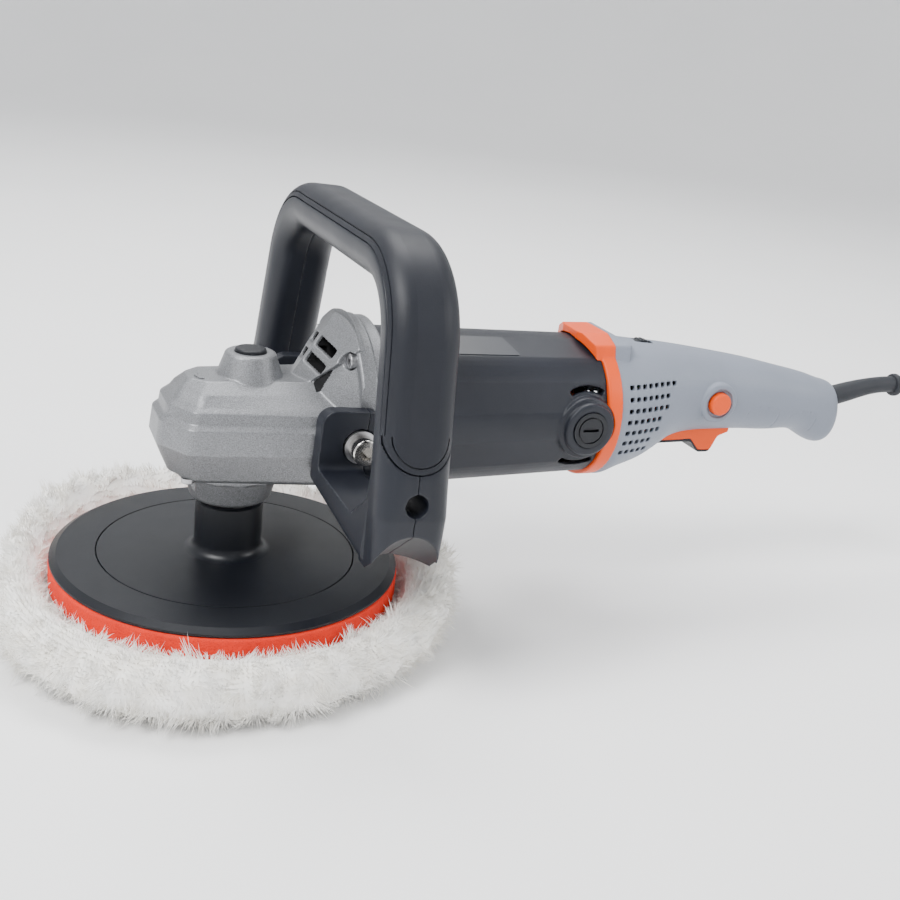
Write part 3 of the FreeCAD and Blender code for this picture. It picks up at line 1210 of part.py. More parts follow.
def cord_tube(route, name):
    """Straight runs joined by tangent arcs, as large as their runs allow; prints and checks them."""
    points = [Vector(*point) for point in route]
    radius = size("cord_radius")
    edges = []
    cursor = points[0]
    for index in range(1, len(points) - 1):
        before = points[index - 1].sub(points[index])
        after = points[index + 1].sub(points[index])
        shorter = min(before.Length, after.Length)
        turn = math.pi - before.getAngle(after)
        bend = 0.45 * shorter / math.tan(turn / 2)
        reach = 0.45 * shorter
        first = points[index].add(before.normalize() * reach)
        last = points[index].add(after.normalize() * reach)
        inward = before.add(after).normalize()
        middle = points[index].add(inward * (bend / math.cos(turn / 2) - bend))
        edges.append(Part.LineSegment(cursor, first).toShape())
        edges.append(Part.Arc(first, middle, last).toShape())
        print("%s bend %d: radius %.1f mm, turn %.1f degrees" % (name, index, bend, math.degrees(turn)))
        cursor = last
    edges.append(Part.LineSegment(cursor, points[-1]).toShape())
    path = Part.Wire(edges)
    section = Part.Wire([Part.makeCircle(radius, points[0], points[1].sub(points[0]))])
    tube = path.makePipeShell([section], True, False)
    expected = math.pi * radius ** 2 * path.Length
    print("%s: length %.1f mm, volume %.0f, section times length %.0f" % (name, path.Length, tube.Volume,
                                                                          expected))
    if abs(tube.Volume / expected - 1) > 0.01:
        raise RuntimeError(name + " is not a clean tube")
    return tube


def make_cord():
    radius = size("cord_radius")
    shaped("cord", cord_tube(CORD_ROUTE, "cord"))
    end = CORD_ROUTE[-1]
    layer_turns = size("coil_turns") / 2
    spread = layer_turns * radius
    outer = size("coil_radius") + spread
    centre = (end[0] - outer, end[1])
    coil = ring((centre[0], centre[1], 0), (centre[0], centre[1], 4 * radius), outer + radius,
                size("coil_radius") - spread - radius)
    rims = [edge for edge in coil.Edges if len(edge.Vertexes) == 1 and hasattr(edge.Curve, "Radius")]
    shaped("cord_coil", coil.makeFillet(2.5, rims))
    print("coil centre (%.2f, %.2f), outer turn radius %.2f" % (centre[0], centre[1], outer))
    tail_y = centre[1] - outer
    tail_end = (centre[0] - 31.0, tail_y, 3 * radius)
    shaped("cord_tail", rod((centre[0], tail_y, 3 * radius), tail_end, radius))
    make_plug(tail_end)


def make_plug(entry):
    """Two-pin moulded mains plug lying on its flat side, its cord entering at the rear."""
    x, y, _ = entry
    stations = [(0.0, 10.5, 5.0, 4.6), (9.0, 10.5, 5.4, 5.2), (15.0, 11.0, 9.0, 9.6),
                (34.0, 12.2, 11.9, 16.5),
                (42.0, 12.8, 12.6, 18.0)]
    wires = []
    for offset, middle, half_height, half_width in stations:
        corner = min(half_height, half_width) * 0.75
        outline = [(y - half_width, middle - half_height, corner),
                   (y + half_width, middle - half_height, corner),
                   (y + half_width, middle + half_height, corner),
                   (y - half_width, middle + half_height, corner)]
        wires.append(rounded_wire(outline, at_plane("YZ", x - offset)))
    body = Part.makeLoft(wires, True, True)
    shaped("plug_body", body)
    pins = []
    for side in (-9.5, 9.5):
        pin = rod((x - 42.0, y + side, 12.8), (x - 61.0, y + side, 12.8), 2.4)
        tip = [edge for edge in pin.Edges if edge.BoundBox.XMax < x - 60.9 and len(edge.Vertexes) == 1]
        pins.append(pin.makeFillet(1.0, tip))
    shaped("plug_pins", Part.makeCompound(pins))


# ---------------------------------------------------------------- build, check and write

make_pad_stack()
make_gears()
make_spindle()
make_gear_housing()
make_bearing_cover()
make_lock_button()
make_bearing_bracket()
make_armature()
make_stator()
make_brushes()
make_motor_housing()
make_trim_ring()
make_name_plate()
make_tail()
make_controls()
make_handle()
make_strain_relief()
make_cord()
doc.recompute()

for item in doc.Objects:
    if "Invalid" in item.State or "Error" in item.State:
        raise RuntimeError(item.Name + " did not compute")
for piece in pieces:
    if piece.Shape.isNull() or not piece.Shape.isValid():
        raise RuntimeError(piece.Label + " is not a valid shape")

os.makedirs("parts", exist_ok=True)
for piece in pieces:
    piece.Shape.exportStep("parts/%s.step" % piece.Label)
print("wrote %d pieces" % len(pieces))
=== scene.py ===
"""Looks of the rotary polisher: finishes, lambswool, foam, soft moulded edges, mains cord and studio."""

import json
import math
import random

import bpy
from mathutils import Matrix, Vector, noise


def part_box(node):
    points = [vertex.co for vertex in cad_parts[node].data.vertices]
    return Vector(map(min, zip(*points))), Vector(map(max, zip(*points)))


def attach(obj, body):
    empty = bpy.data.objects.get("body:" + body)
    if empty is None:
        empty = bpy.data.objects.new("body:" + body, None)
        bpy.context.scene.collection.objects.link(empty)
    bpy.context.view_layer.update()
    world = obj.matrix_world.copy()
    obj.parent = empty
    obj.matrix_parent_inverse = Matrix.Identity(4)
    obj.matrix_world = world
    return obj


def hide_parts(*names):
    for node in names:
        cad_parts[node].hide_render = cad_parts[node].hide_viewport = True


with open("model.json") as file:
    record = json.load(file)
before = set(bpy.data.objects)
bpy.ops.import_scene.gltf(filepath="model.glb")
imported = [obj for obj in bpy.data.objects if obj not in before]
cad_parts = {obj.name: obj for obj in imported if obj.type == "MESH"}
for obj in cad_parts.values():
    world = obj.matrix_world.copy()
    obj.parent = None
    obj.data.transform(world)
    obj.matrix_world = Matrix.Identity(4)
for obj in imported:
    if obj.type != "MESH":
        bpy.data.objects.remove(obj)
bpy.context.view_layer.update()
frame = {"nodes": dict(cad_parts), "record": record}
scene = bpy.context.scene
random.seed(7)
noise.seed_set(7)

MM = 0.001
MOTOR_HEIGHT = 113.4 * MM


# ---------------------------------------------------------------- node materials

class Finish:
    """One node material, built step by step: colour, roughness and relief all come from noise."""

    def __init__(self, name):
        self.material = bpy.data.materials.new(name)
        self.material.use_nodes = True
        self.nodes = self.material.node_tree.nodes
        self.links = self.material.node_tree.links
        self.shader = self.nodes["Principled BSDF"]
        self.place = self.nodes.new("ShaderNodeTexCoord").outputs["Object"]
        self.relief = None

    def noise(self, scale, detail=4.0, stretch=None):
        texture = self.nodes.new("ShaderNodeTexNoise")
        texture.inputs["Scale"].default_value = scale
        texture.inputs["Detail"].default_value = detail
        source = self.place
        if stretch:
            mapping = self.nodes.new("ShaderNodeMapping")
            mapping.inputs["Scale"].default_value = stretch
            self.links.new(source, mapping.inputs["Vector"])
            source = mapping.outputs["Vector"]
        self.links.new(source, texture.inputs["Vector"])
        return texture.outputs["Fac"]

    def cells(self, scale):
        texture = self.nodes.new("ShaderNodeTexVoronoi")
        texture.inputs["Scale"].default_value = scale
        self.links.new(self.place, texture.inputs["Vector"])
        return texture.outputs["Distance"]

    def ramp(self, factor, low, high, start=0.35, end=0.65):
        ramp = self.nodes.new("ShaderNodeValToRGB")
        for stop, place, colour in zip(ramp.color_ramp.elements, (start, end), (low, high)):
            stop.position = place
            stop.color = (*colour, 1.0)
        self.links.new(factor, ramp.inputs["Fac"])
        return ramp.outputs["Color"]

    def mix(self, share, first, second):
        mix = self.nodes.new("ShaderNodeMix")
        mix.data_type = "RGBA"
        mix.inputs["Factor"].default_value = share
        self.links.new(first, mix.inputs["A"])
        self.links.new(second, mix.inputs["B"])
        return mix.outputs["Result"]

    def colour(self, socket):
        self.links.new(socket, self.shader.inputs["Base Color"])

    def rough(self, factor, low, high):
        span = self.nodes.new("ShaderNodeMapRange")
        span.inputs["To Min"].default_value = low
        span.inputs["To Max"].default_value = high
        self.links.new(factor, span.inputs["Value"])
        self.links.new(span.outputs["Result"], self.shader.inputs["Roughness"])

    def bump(self, height, depth, strength=1.0):
        bump = self.nodes.new("ShaderNodeBump")
        bump.inputs["Distance"].default_value = depth
        bump.inputs["Strength"].default_value = strength
        self.links.new(height, bump.inputs["Height"])
        if self.relief:
            self.links.new(self.relief, bump.inputs["Normal"])
        self.relief = bump.outputs["Normal"]
        self.links.new(self.relief, self.shader.inputs["Normal"])

    def set(self, name, value):
        self.shader.inputs[name].default_value = value


def tint(colour, factor):
    return tuple(min(1.0, channel * factor) for channel in colour)


def plastic(name, colour, rough=(0.38, 0.52), grain=0.00006, contrast=0.14, shine=0.32):
    """Moulded plastic: faint clouds in the colour, uneven gloss and a fine spark-eroded texture."""
    finish = Finish(name)
    clouds = finish.noise(28.0)
    specks = finish.noise(2600.0, 2.0)
    wide = finish.ramp(clouds, tint(colour, 1 - contrast), tint(colour, 1 + contrast))
    fine = finish.ramp(specks, tint(colour, 1 - contrast), tint(colour, 1 + contrast))
    finish.colour(finish.mix(0.4, wide, fine))
    finish.rough(finish.noise(60.0), *rough)
    finish.set("Specular IOR Level", shine)
    finish.bump(specks, grain)
    return finish.material


def metal(name, colour, rough, grain_scale, grain, contrast=0.12, stretch=None, metallic=1.0):
    """Metal with grain in its colour, gloss and relief."""
    finish = Finish(name)
    fine = finish.noise(grain_scale, 3.0, stretch)
    clouds = finish.noise(35.0)
    grainy = finish.ramp(fine, tint(colour, 1 - contrast), tint(colour, 1 + contrast))
    cloudy = finish.ramp(clouds, tint(colour, 1 - contrast / 2), tint(colour, 1 + contrast / 2))
    finish.colour(finish.mix(0.5, grainy, cloudy))
    finish.set("Metallic", metallic)
    finish.rough(fine, *rough)
    finish.bump(fine, grain)
    return finish.material


def cast_metal():
    """Silver die casting: small bright and dark grains over a satin base."""
    finish = Finish("cast_aluminium")
    grains = finish.cells(1500.0)
    fine = finish.noise(1900.0, 2.0)
    clouds = finish.noise(22.0)
    grey = (0.215, 0.22, 0.23)
    base = finish.ramp(clouds, tint(grey, 0.90), tint(grey, 1.10))
    sparkle = finish.ramp(fine, tint(grey, 0.45), tint(grey, 1.55), 0.3, 0.7)
    finish.colour(finish.mix(0.6, base, sparkle))
    finish.set("Metallic", 0.65)
    finish.rough(fine, 0.36, 0.55)
    finish.bump(grains, 0.00012, 0.6)
    finish.bump(finish.noise(420.0), 0.0001, 0.5)
    return finish.material


def wool_fibre():
    """Creamy lambswool, a little warmer in some clumps than in others."""
    finish = Finish("lambswool")
    clumps = finish.noise(90.0, 3.0)
    strands = finish.noise(900.0, 4.0, (1.0, 1.0, 0.35))
    finish.colour(finish.mix(0.4, finish.ramp(clumps, (0.90, 0.86, 0.77), (0.97, 0.96, 0.93)),
                             finish.ramp(strands, (0.92, 0.90, 0.85), (0.98, 0.975, 0.96))))
    finish.rough(strands, 0.8, 1.0)
    finish.set("Sheen Weight", 0.3)
    finish.bump(strands, 0.0003, 0.5)
    return finish.material


def foam_cell():
    """Orange-red open-cell foam: small pores dented in the relief and painted darker as painted shade."""
    finish = Finish("foam")
    pores = finish.cells(1100.0)
    clouds = finish.noise(60.0)
    # The dark end of the pore ramp is painted shade inside the cells.
    finish.colour(finish.mix(0.45, finish.ramp(pores, (0.36, 0.006, 0.0), (0.80, 0.022, 0.001), 0.05, 0.4),
                             finish.ramp(clouds, (0.66, 0.014, 0.0), (0.86, 0.028, 0.002))))
    finish.rough(pores, 0.75, 0.95)
    finish.bump(pores, 0.0004, 0.6)
    return finish.material


def winding(name, colour):
    """Enamelled wire: close ridges across the bundle."""
    finish = Finish(name)
    wires = finish.noise(700.0, 2.0, (0.12, 1.0, 1.0))
    finish.colour(finish.ramp(wires, tint(colour, 0.55), tint(colour, 1.15)))
    finish.set("Metallic", 0.7)
    finish.rough(wires, 0.28, 0.5)
    finish.bump(wires, 0.0003)
    return finish.material


SLATE = (0.0115, 0.0135, 0.0205)
ALONG_X = (0.1, 1.0, 1.0)
finishes = {
    "wool": wool_fibre(),
    "foam": foam_cell(),
    "grip": plastic("hook_layer", (0.016, 0.016, 0.018), (0.8, 0.95), 0.0003),
    "plate": plastic("plate_nylon", (0.0055, 0.0065, 0.0095), (0.30, 0.42), 0.00004),
    "cast": cast_metal(),
    "housing": plastic("housing_nylon", tint(SLATE, 0.9), (0.36, 0.50), 0.00008),
    "handle": plastic("handle_nylon", tint(SLATE, 0.8), (0.34, 0.46), 0.00006),
    "soft_grip": plastic("soft_grip", tint(SLATE, 0.72), (0.42, 0.56), 0.00005),
    "label": plastic("label", (0.020, 0.023, 0.031), (0.28, 0.36), 0.00001),
    "button": plastic("dark_plastic", (0.007, 0.008, 0.011), (0.34, 0.46), 0.00005),
    "orange": plastic("orange_plastic", (0.78, 0.072, 0.0), (0.36, 0.48), 0.00004, 0.06),
    "light_shell": plastic("grey_shell", (0.20, 0.222, 0.268), (0.42, 0.56), 0.00007, 0.05),
    "dial": plastic("dial_plastic", (0.014, 0.016, 0.020), (0.34, 0.5), 0.00005),
    "steel": metal("ground_steel", (0.52, 0.52, 0.53), (0.22, 0.36), 900.0, 0.00002, stretch=ALONG_X),
    "chrome": metal("bolt_chrome", (0.62, 0.60, 0.57), (0.12, 0.24), 700.0, 0.00003),
    "screw": metal("zinc_steel", (0.48, 0.48, 0.49), (0.28, 0.42), 800.0, 0.00003),
    "boot": plastic("boot_rubber", (0.020, 0.022, 0.027), (0.5, 0.65), 0.00008),
    "cable": plastic("cable_jacket", (0.018, 0.020, 0.026), (0.42, 0.58), 0.00006),
    "core": metal("laminations", (0.26, 0.27, 0.28), (0.4, 0.6), 1400.0, 0.0001, 0.3, (1.0, 0.06, 0.06)),
    "copper": winding("copper_wire", (0.72, 0.30, 0.14)),
    "segment": metal("turned_copper", (0.75, 0.40, 0.24), (0.2, 0.35), 1100.0, 0.00004, 0.25, ALONG_X),
    "fan": plastic("fan_nylon", (0.045, 0.045, 0.048), (0.45, 0.6)),
    "holder": metal("pressed_brass", (0.72, 0.52, 0.22), (0.25, 0.4), 700.0, 0.00004),
    "carbon": plastic("carbon", (0.018, 0.018, 0.018), (0.55, 0.75), 0.0001),
    "electric": plastic("thermoset", (0.05, 0.05, 0.055), (0.4, 0.55)),
    "board": plastic("circuit_board", (0.02, 0.12, 0.05), (0.3, 0.5)),
}
slot_of = {entry["node"]: entry["material_slot"] for entry in frame["record"]["subparts"]}
bodies = frame["record"]["behaviour"]["bodies"]
body_of = {node: body for body, members in bodies.items() for node in members}


def dress(piece, slot):
    """Gives a piece the finish of one of the record's material slots."""
    piece.data.materials.clear()
    piece.data.materials.append(finishes[slot])


def stand_for(piece, *nodes):
    """The piece rides with these CAD nodes' body and is shown in their place."""
    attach(piece, body_of[nodes[0]])
    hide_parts(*nodes)


for node, piece in frame["nodes"].items():
    dress(piece, slot_of[node])
    piece.data.polygons.foreach_set("use_smooth", [True] * len(piece.data.polygons))
    piece.data.set_sharp_from_angle(angle=math.radians(32))


# ---------------------------------------------------------------- mesh helpers

def new_piece(name, points, faces, smooth=True):
    """A new object in the scene, made of plain points and faces."""
    mesh = bpy.data.meshes.new(name)
    mesh.from_pydata([tuple(point) for point in points], [], faces)
    mesh.validate()
    mesh.update()
    mesh.polygons.foreach_set("use_smooth", [smooth] * len(mesh.polygons))
    piece = bpy.data.objects.new(name, mesh)
    scene.collection.objects.link(piece)
    return piece


def lathe(profile, segments, moved):
    """A closed solid turned about Z, from the axis back to the axis.

    moved(radius, height, angle) gives each of its points its radius and height.
    """
    points = []
    for radius, height in profile[1:-1]:
        for k in range(segments):
            angle = 2 * math.pi * k / segments
            radius_here, height_here = moved(radius, height, angle)
            points.append((radius_here * math.cos(angle), radius_here * math.sin(angle), height_here))
    rings = len(profile) - 2
    faces = []
    for ring in range(rings - 1):
        for k in range(segments):
            after = (k + 1) % segments
            low = ring * segments
            faces.append((low + k, low + after, low + segments + after, low + segments + k))
    first, last = len(points), len(points) + 1
    points += [(0, 0, profile[0][1]), (0, 0, profile[-1][1])]
    for k in range(segments):
        after = (k + 1) % segments
        faces.append((first, after, k))
        faces.append((last, (rings - 1) * segments + k, (rings - 1) * segments + after))
    return points, faces


def softened(node, voxel, rounds):
    """A copy of a moulded or cast CAD node whose sharp edges are slightly rounded."""
    copy = frame["nodes"][node].copy()
    copy.data = copy.data.copy()
    for key in list(copy.keys()):
        del copy[key]
    copy.parent = None
    scene.collection.objects.link(copy)
    remesh = copy.modifiers.new("remesh", "REMESH")
    remesh.mode = "VOXEL"
    remesh.voxel_size = voxel
    smooth = copy.modifiers.new("smooth", "SMOOTH")
    smooth.factor = 0.5
    smooth.iterations = rounds
    depsgraph = bpy.context.evaluated_depsgraph_get()
    mesh = bpy.data.meshes.new_from_object(copy.evaluated_get(depsgraph))
    bpy.data.objects.remove(copy)
    mesh.polygons.foreach_set("use_smooth", [True] * len(mesh.polygons))
    piece = bpy.data.objects.new(node + "_skin", mesh)
    scene.collection.objects.link(piece)
    dress(piece, slot_of[node])
    stand_for(piece, node)
    return piece


# ---------------------------------------------------------------- lambswool pad

WOOL_SEGMENTS = 360
WOOL_STEP = 2.2
FIBRE_DROOP = 0.25
WOOL_PROFILE = [
    (0, 1.2), (40, 1.0), (80, 0.9), (98, 1.2), (106, 3.4), (111, 7.5), (113.5, 12.5), (113.5, 18.0),
    (111, 23.0), (106.5, 27.0), (101, 28.6), (96, 27.4), (92.6, 24.0), (90.2, 19.6), (88.8, 18.0),
    (60, 18.2), (0, 18.3),
]
# Where the pile stands higher or reaches further out: direction and spread in degrees, then mm.
PILE_LIFTS = [(138, 46, 24.0), (-12, 40, 17.0), (65, 50, 13.0)]
PILE_REACHES = [(-140, 38, 5.0), (165, 30, -4.0), (-15, 34, 6.0), (-60, 30, -2.0)]


def round_about(bumps, angle):
    """Sum of smooth bumps round the pad."""
    total = 0.0
    for middle, spread, amount in bumps:
        away = math.degrees(math.remainder(angle - math.radians(middle), 2 * math.pi))
        total += amount * math.exp(-(away / spread) ** 2)
    return total * MM


def wool_shape(radius, height, angle):
    """The pile's clumped outline: waves, tufts and small locks."""
    outward = max(0.0, (radius - 88.6 * MM) / (25 * MM))
    if outward <= 0:
        return radius, height
    spot = Vector((math.cos(angle) * radius, math.sin(angle) * radius, height))
    waves = noise.noise(spot * 26.0 + Vector((3, 1, 7)))
    tufts = 0.5 - noise.voronoi(spot * 78.0)[0][0]
    locks = 0.5 - noise.voronoi(spot * 210.0 + Vector((waves, 0, 0)))[0][0]
    swell = (3.0 * waves + 6.5 * tufts + 2.6 * locks) * MM * min(1.0, outward * 2)
    upper = max(0.0, min(1.0, height / (28 * MM)))
    share = min(1.0, outward) ** 1.4
    raised = height + upper * (round_about(PILE_LIFTS, angle) * share + swell * 0.8)
    reach = round_about(PILE_REACHES, angle) * share
    return radius + reach + swell * (1 - 0.5 * upper), max(0.6 * MM, raised)


def astray():
    """A small random change of direction."""
    return Vector((random.uniform(-1, 1), random.uniform(-1, 1), random.uniform(-1, 1))) * 0.35


def fibre(points, faces, root, direction, length, width):
    """Adds one tapering, bending hair to the lists."""
    steps = 4
    side = direction.orthogonal().normalized()
    across = direction.cross(side)
    bend = noise.noise_vector(root * 160.0) * 1.5 + astray()
    bend -= Vector((0, 0, FIBRE_DROOP))
    start = len(points)
    for step in range(steps):
        share = step / steps
        place = root + direction * (length * share) + bend * (length * share * share * 0.8)
        thin = width * (1 - 0.75 * share)
        for corner in range(3):
            turn = 2 * math.pi * corner / 3
            spot = place + (side * math.cos(turn) + across * math.sin(turn)) * thin
            spot.z = max(spot.z, 0.3 * MM)
            points.append(spot)
    tip = root + direction * length + bend * (length * 0.8)
    tip.z = max(tip.z, 0.4 * MM)
    points.append(tip)
    for step in range(steps - 1):
        low = start + 3 * step
        for corner in range(3):
            after = (corner + 1) % 3
            faces.append((low + corner, low + after, low + 3 + after, low + 3 + corner))
    low = start + 3 * (steps - 1)
    for corner in range(3):
        faces.append((low + corner, low + (corner + 1) % 3, start + 3 * steps))
    faces.append((start + 2, start + 1, start))


def make_wool():
    """The pad's clumped body, with single fibres standing out of the pile all round."""
    profile = []
    for (r0, z0), (r1, z1) in zip(WOOL_PROFILE, WOOL_PROFILE[1:]):
        in_pile = r1 > 86 or r0 > 86
        steps = max(1, round(math.hypot(r1 - r0, z1 - z0) / WOOL_STEP)) if in_pile else 6
        for k in range(steps):
            share = k / steps
            profile.append(((r0 + (r1 - r0) * share) * MM, (z0 + (z1 - z0) * share) * MM))
    profile.append((0.0, WOOL_PROFILE[-1][1] * MM))
    points, faces = lathe(profile, WOOL_SEGMENTS, wool_shape)
    points = [Vector(point) for point in points]
    pile = [index for index, point in enumerate(points)
            if math.hypot(point.x, point.y) > 89 * MM and point.z > 2.5 * MM]
    for _ in range(26000):
        lock = points[random.choice(pile)]
        radius = math.hypot(lock.x, lock.y)
        radial = Vector((lock.x / radius, lock.y / radius, 0))
        around = Vector((-radial.y, radial.x, 0))
        up = (lock.z / MM - 12.0) / 14.0
        out = (radius / MM - 98.0) / 12.0
        clump = noise.noise(lock * 130.0)
        direction = radial * out + Vector((0, 0, 1)) * up + around * (clump * 1.4)
        direction += astray()
        direction.normalize()
        length = random.uniform(2.6, 7.5) * MM
        fibre(points, faces, lock - direction * MM, direction, length, random.uniform(0.16, 0.34) * MM)
    piece = new_piece("lambswool", points, faces)
    dress(piece, "wool")
    stand_for(piece, "wool_pad")


# ---------------------------------------------------------------- foam cushion

def make_foam():
    """The foam layer, with chamfered edges and an open-celled rim."""
    low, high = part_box("foam_cushion")
    inner, outer = 60 * MM, high.x
    bottom, top = low.z, high.z
    chamfer = 0.8 * MM
    edge = outer - chamfer
    profile = [(0, bottom), (inner, bottom)]
    profile += [(inner + (edge - inner) * k / 8, bottom) for k in range(1, 9)]
    rows = 12
    wall = top - bottom - 2 * chamfer
    profile += [(outer, bottom + chamfer + wall * k / rows) for k in range(rows + 1)]
    profile += [(edge - (edge - inner) * k / 8, top) for k in range(9)]
    profile.append((0, top))

    def pores(radius, height, angle):
        if radius < outer - 4 * MM:
            return radius, height
        spot = Vector((math.cos(angle) * radius, math.sin(angle) * radius, height))
        dent = max(0.0, noise.noise(spot * 600.0)) * 0.5 + abs(noise.noise(spot * 60.0)) * 0.5
        return radius - dent * MM, height

    piece = new_piece("foam", *lathe(profile, 900, pores))
    dress(piece, "foam")
    stand_for(piece, "foam_cushion")


# ---------------------------------------------------------------- mains cord

CORD_DIAMETER = 7.0 * MM
CORD_ROUTE = [
    (418.0, 0.0, 121.0), (440.0, 0.0, 121.0), (464.0, -2.0, 112.0), (484.0, -7.0, 93.0),
    (497.5, -15.0, 69.0), (506.0, -25.0, 44.0), (512.5, -37.0, 22.0), (517.5, -55.0, 7.8),
    (519.5, -80.0, 3.5), (518.9, -104.0, 3.5),
]
COIL_CENTRE = (465.96, -104.0)
COIL_OUTER, COIL_INNER = 52.94, 31.06
COIL_TURNS = 6.25
TURN_POINTS = 24


def coil_points():
    """The rolled-up length: inwards on the floor, then outwards on top of it."""
    count = round(COIL_TURNS * TURN_POINTS)
    made = []
    for k in range(1, count + 1):
        share = k / count
        angle = -2 * math.pi * COIL_TURNS * share
        inward = 1 - abs(2 * share - 1)
        radius = COIL_OUTER + (COIL_INNER - COIL_OUTER) * inward
        climb = min(1.0, max(0.0, (share - 0.46) / 0.08))
        x = COIL_CENTRE[0] + radius * math.cos(angle)
        y = COIL_CENTRE[1] + radius * math.sin(angle)
        made.append((x, y, 3.5 + 7.0 * climb))
    return made


def make_cord():
    """The cord from the boot down to the floor, through the coil and into the plug."""
    tail_y = COIL_CENTRE[1] - COIL_OUTER
    tail = [(COIL_CENTRE[0] - 16.0, tail_y, 10.5), (COIL_CENTRE[0] - 31.0, tail_y, 10.5)]
    route = [Vector(point) * MM for point in CORD_ROUTE + coil_points() + tail]
    curve = bpy.data.curves.new("mains_cord", "CURVE")
    curve.dimensions = "3D"
    curve.bevel_depth = CORD_DIAMETER / 2
    curve.bevel_resolution = 6
    curve.resolution_u = 6
    curve.use_fill_caps = True
    line = curve.splines.new("NURBS")
    line.points.add(len(route) - 1)
    for point, place in zip(line.points, route):
        point.co = (*place, 1.0)
    line.order_u = 3
    line.use_endpoint_u = True
    piece = bpy.data.objects.new("mains_cord", curve)
    scene.collection.objects.link(piece)
    dress(piece, "cable")
    stand_for(piece, "cord", "cord_coil", "cord_tail")


# ---------------------------------------------------------------- camera and studio

def make_camera():
    """Stands in front of the gear head's near side, above the pad, and looks along the motor."""
    right = Vector((0.92156, -0.37243, 0.10968)).normalized()
    ahead = Vector((0.38699, 0.85848, -0.33651)).normalized()
    ahead = (ahead - right * ahead.dot(right)).normalized()
    up = right.cross(ahead)
    data = bpy.data.cameras.new("camera")
    data.lens = 48.0
    data.sensor_width = 36.0
    data.clip_start = 0.02
    data.clip_end = 30.0
    camera = bpy.data.objects.new("camera", data)
    matrix = Matrix((right, up, -ahead)).transposed().to_4x4()
    matrix.translation = Vector((-0.13184, -0.55591, 0.30511))
    camera.matrix_world = matrix
    scene.collection.objects.link(camera)
    scene.camera = camera


def make_floor():
    """A wide pale bowl: flat floor that curves up into the backdrop all round."""
    reach, curve, high = 4.0, 1.4, 4.5
    outline = [(0.8, 0.0), (reach - curve, 0.0)]
    steps = 12
    for k in range(1, steps + 1):
        angle = math.pi / 2 * k / steps
        outline.append((reach - curve + curve * math.sin(angle), curve - curve * math.cos(angle)))
    outline.append((reach, high))
    segments = 96
    points = []
    for radius, height in outline:
        for k in range(segments):
            angle = 2 * math.pi * k / segments
            points.append((radius * math.cos(angle), radius * math.sin(angle), height))
    faces = [tuple(range(segments))]
    for ring in range(len(outline) - 1):
        low = ring * segments
        for k in range(segments):
            after = (k + 1) % segments
            faces.append((low + k, low + segments + k, low + segments + after, low + after))
    floor = new_piece("floor", points, faces)
    finish = Finish("floor_paper")
    finish.colour(finish.ramp(finish.noise(3.0), (0.93, 0.93, 0.93), (0.95, 0.95, 0.95)))
    finish.rough(finish.noise(40.0), 0.85, 0.95)
    floor.data.materials.append(finish.material)


def area_light(name, place, target, width, power):
    """A soft rectangular light at a place, turned to a target."""
    data = bpy.data.lights.new(name, "AREA")
    data.shape = "RECTANGLE"
    data.size = width
    data.size_y = width * 0.7
    data.energy = power
    light = bpy.data.objects.new(name, data)
    light.location = place
    light.rotation_mode = "QUATERNION"
    light.rotation_quaternion = (Vector(target) - Vector(place)).to_track_quat("-Z", "Y")
    scene.collection.objects.link(light)


def make_studio():
    """Pale floor, three soft lights and an even sky."""
    make_floor()
    middle = (0.12, 0.0, 0.1)
    area_light("key", (-1.0, -0.5, 1.5), middle, 0.8, 42.0)
    area_light("top", (0.3, 0.7, 1.7), middle, 1.3, 34.0)
    area_light("side", (1.5, -0.9, 1.0), middle, 0.7, 12.0)
    world = bpy.data.worlds.new("studio")
    world.use_nodes = True
    sky = world.node_tree.nodes["Background"]
    sky.inputs["Color"].default_value = (0.95, 0.97, 1.0, 1.0)
    sky.inputs["Strength"].default_value = 0.85
    scene.world = world


# ---------------------------------------------------------------- the object

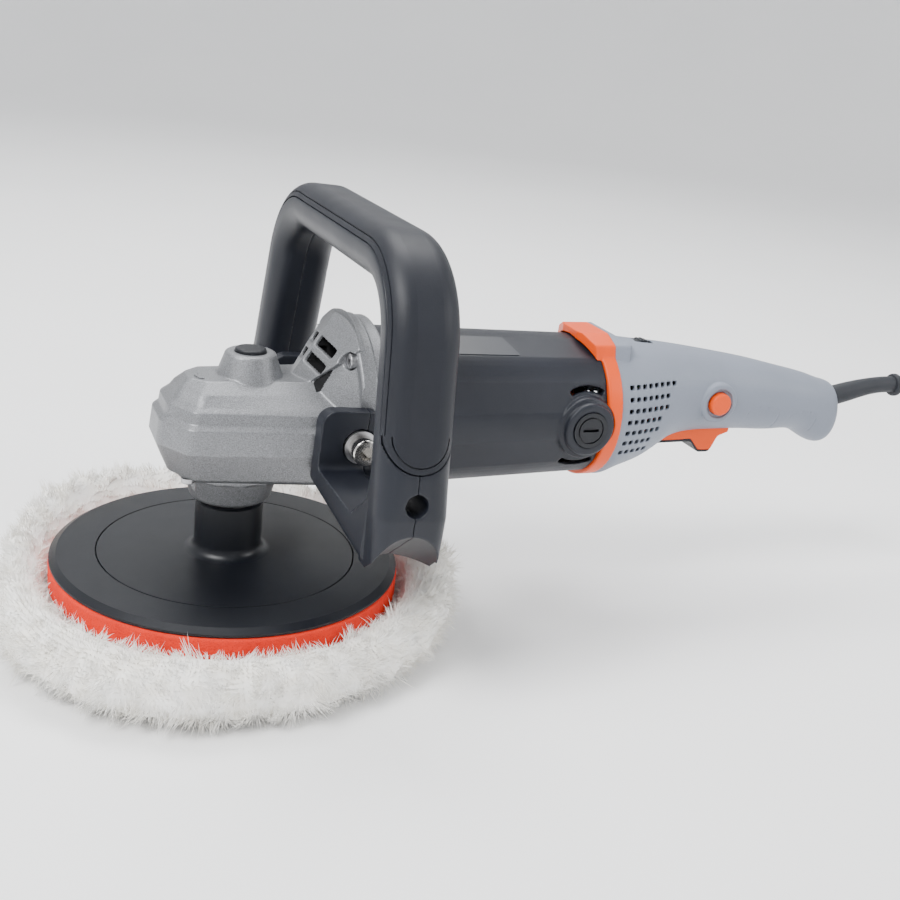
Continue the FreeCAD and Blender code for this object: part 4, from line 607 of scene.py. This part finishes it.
# Moulded and cast nodes with rounded edges: voxel in mm, then rounds of smoothing.
SOFT_EDGES = [
    ("gear_housing", 0.5, 3), ("bearing_cover", 0.5, 2), ("bearing_bracket", 0.6, 2),
    ("motor_housing", 0.6, 2), ("handle_front_shell", 0.5, 3), ("handle_rear_shell", 0.5, 3),
    ("rear_housing_left", 0.42, 1), ("rear_housing_right", 0.5, 1), ("trim_ring", 0.5, 2),
    ("trigger", 0.45, 2), ("lock_on_button", 0.4, 3), ("spindle_lock_button", 0.45, 2),
]


def paint_shade_inside_hood(piece):
    """The cooling duct behind the hood's windows is unlit: its faces are painted near-black as painted
    shade.
    """
    # Near-black finish that stands in for the shade inside the duct.
    shade_finish = plastic("painted_hood_shade", (0.004, 0.004, 0.005), (0.7, 0.9), 0.0002)
    piece.data.materials.append(shade_finish)
    for face in piece.data.polygons:
        x, y, z = (value / MM for value in face.center)
        from_axis = math.hypot(y, z - MOTOR_HEIGHT / MM)
        behind_front = 29.0 + (z - 133.0) / 1.6 + 0.33 * abs(y) + 1.8
        in_ring = 20 < from_axis < 46.9
        # Faces inside the hood's duct get the painted shade.
        if in_ring and abs(y) < 21 and behind_front < x < 59 and z > 128:
            face.material_index = 1


def make_deck_arrow():
    """A small raised arrow on the gear head's deck that shows which way the spindle turns."""
    top = 131.2 * MM
    raised = 0.6 * MM
    middle = (-13.5 * MM, -3.0 * MM)
    start, neck, tip, steps = 150, 220, 238, 8
    turns = [start + (neck - start) * k / steps for k in range(steps + 1)]
    outline = [(7.4, turn) for turn in turns]
    outline += [(8.6, neck), (6.7, tip), (4.9, neck)]
    outline += [(6.0, turn) for turn in reversed(turns)]
    flat = []
    for radius, turn in outline:
        angle = math.radians(turn)
        flat.append((middle[0] + radius * MM * math.cos(angle), middle[1] + radius * MM * math.sin(angle)))
    count = len(flat)
    points = [(x, y, top - raised) for x, y in flat] + [(x, y, top + raised) for x, y in flat]
    faces = [tuple(reversed(range(count))), tuple(range(count, 2 * count))]
    faces += [(k, (k + 1) % count, count + (k + 1) % count, count + k) for k in range(count)]
    piece = new_piece("deck_arrow", points, faces, False)
    dress(piece, "cast")
    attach(piece, "machine")


make_camera()
make_studio()
make_wool()
make_foam()
make_cord()
for node, voxel, rounds in SOFT_EDGES:
    softened(node, voxel * MM * (1.0), rounds)

# Painted shade inside the gear housing's hood.
paint_shade_inside_hood(bpy.data.objects["gear_housing_skin"])
make_deck_arrow()
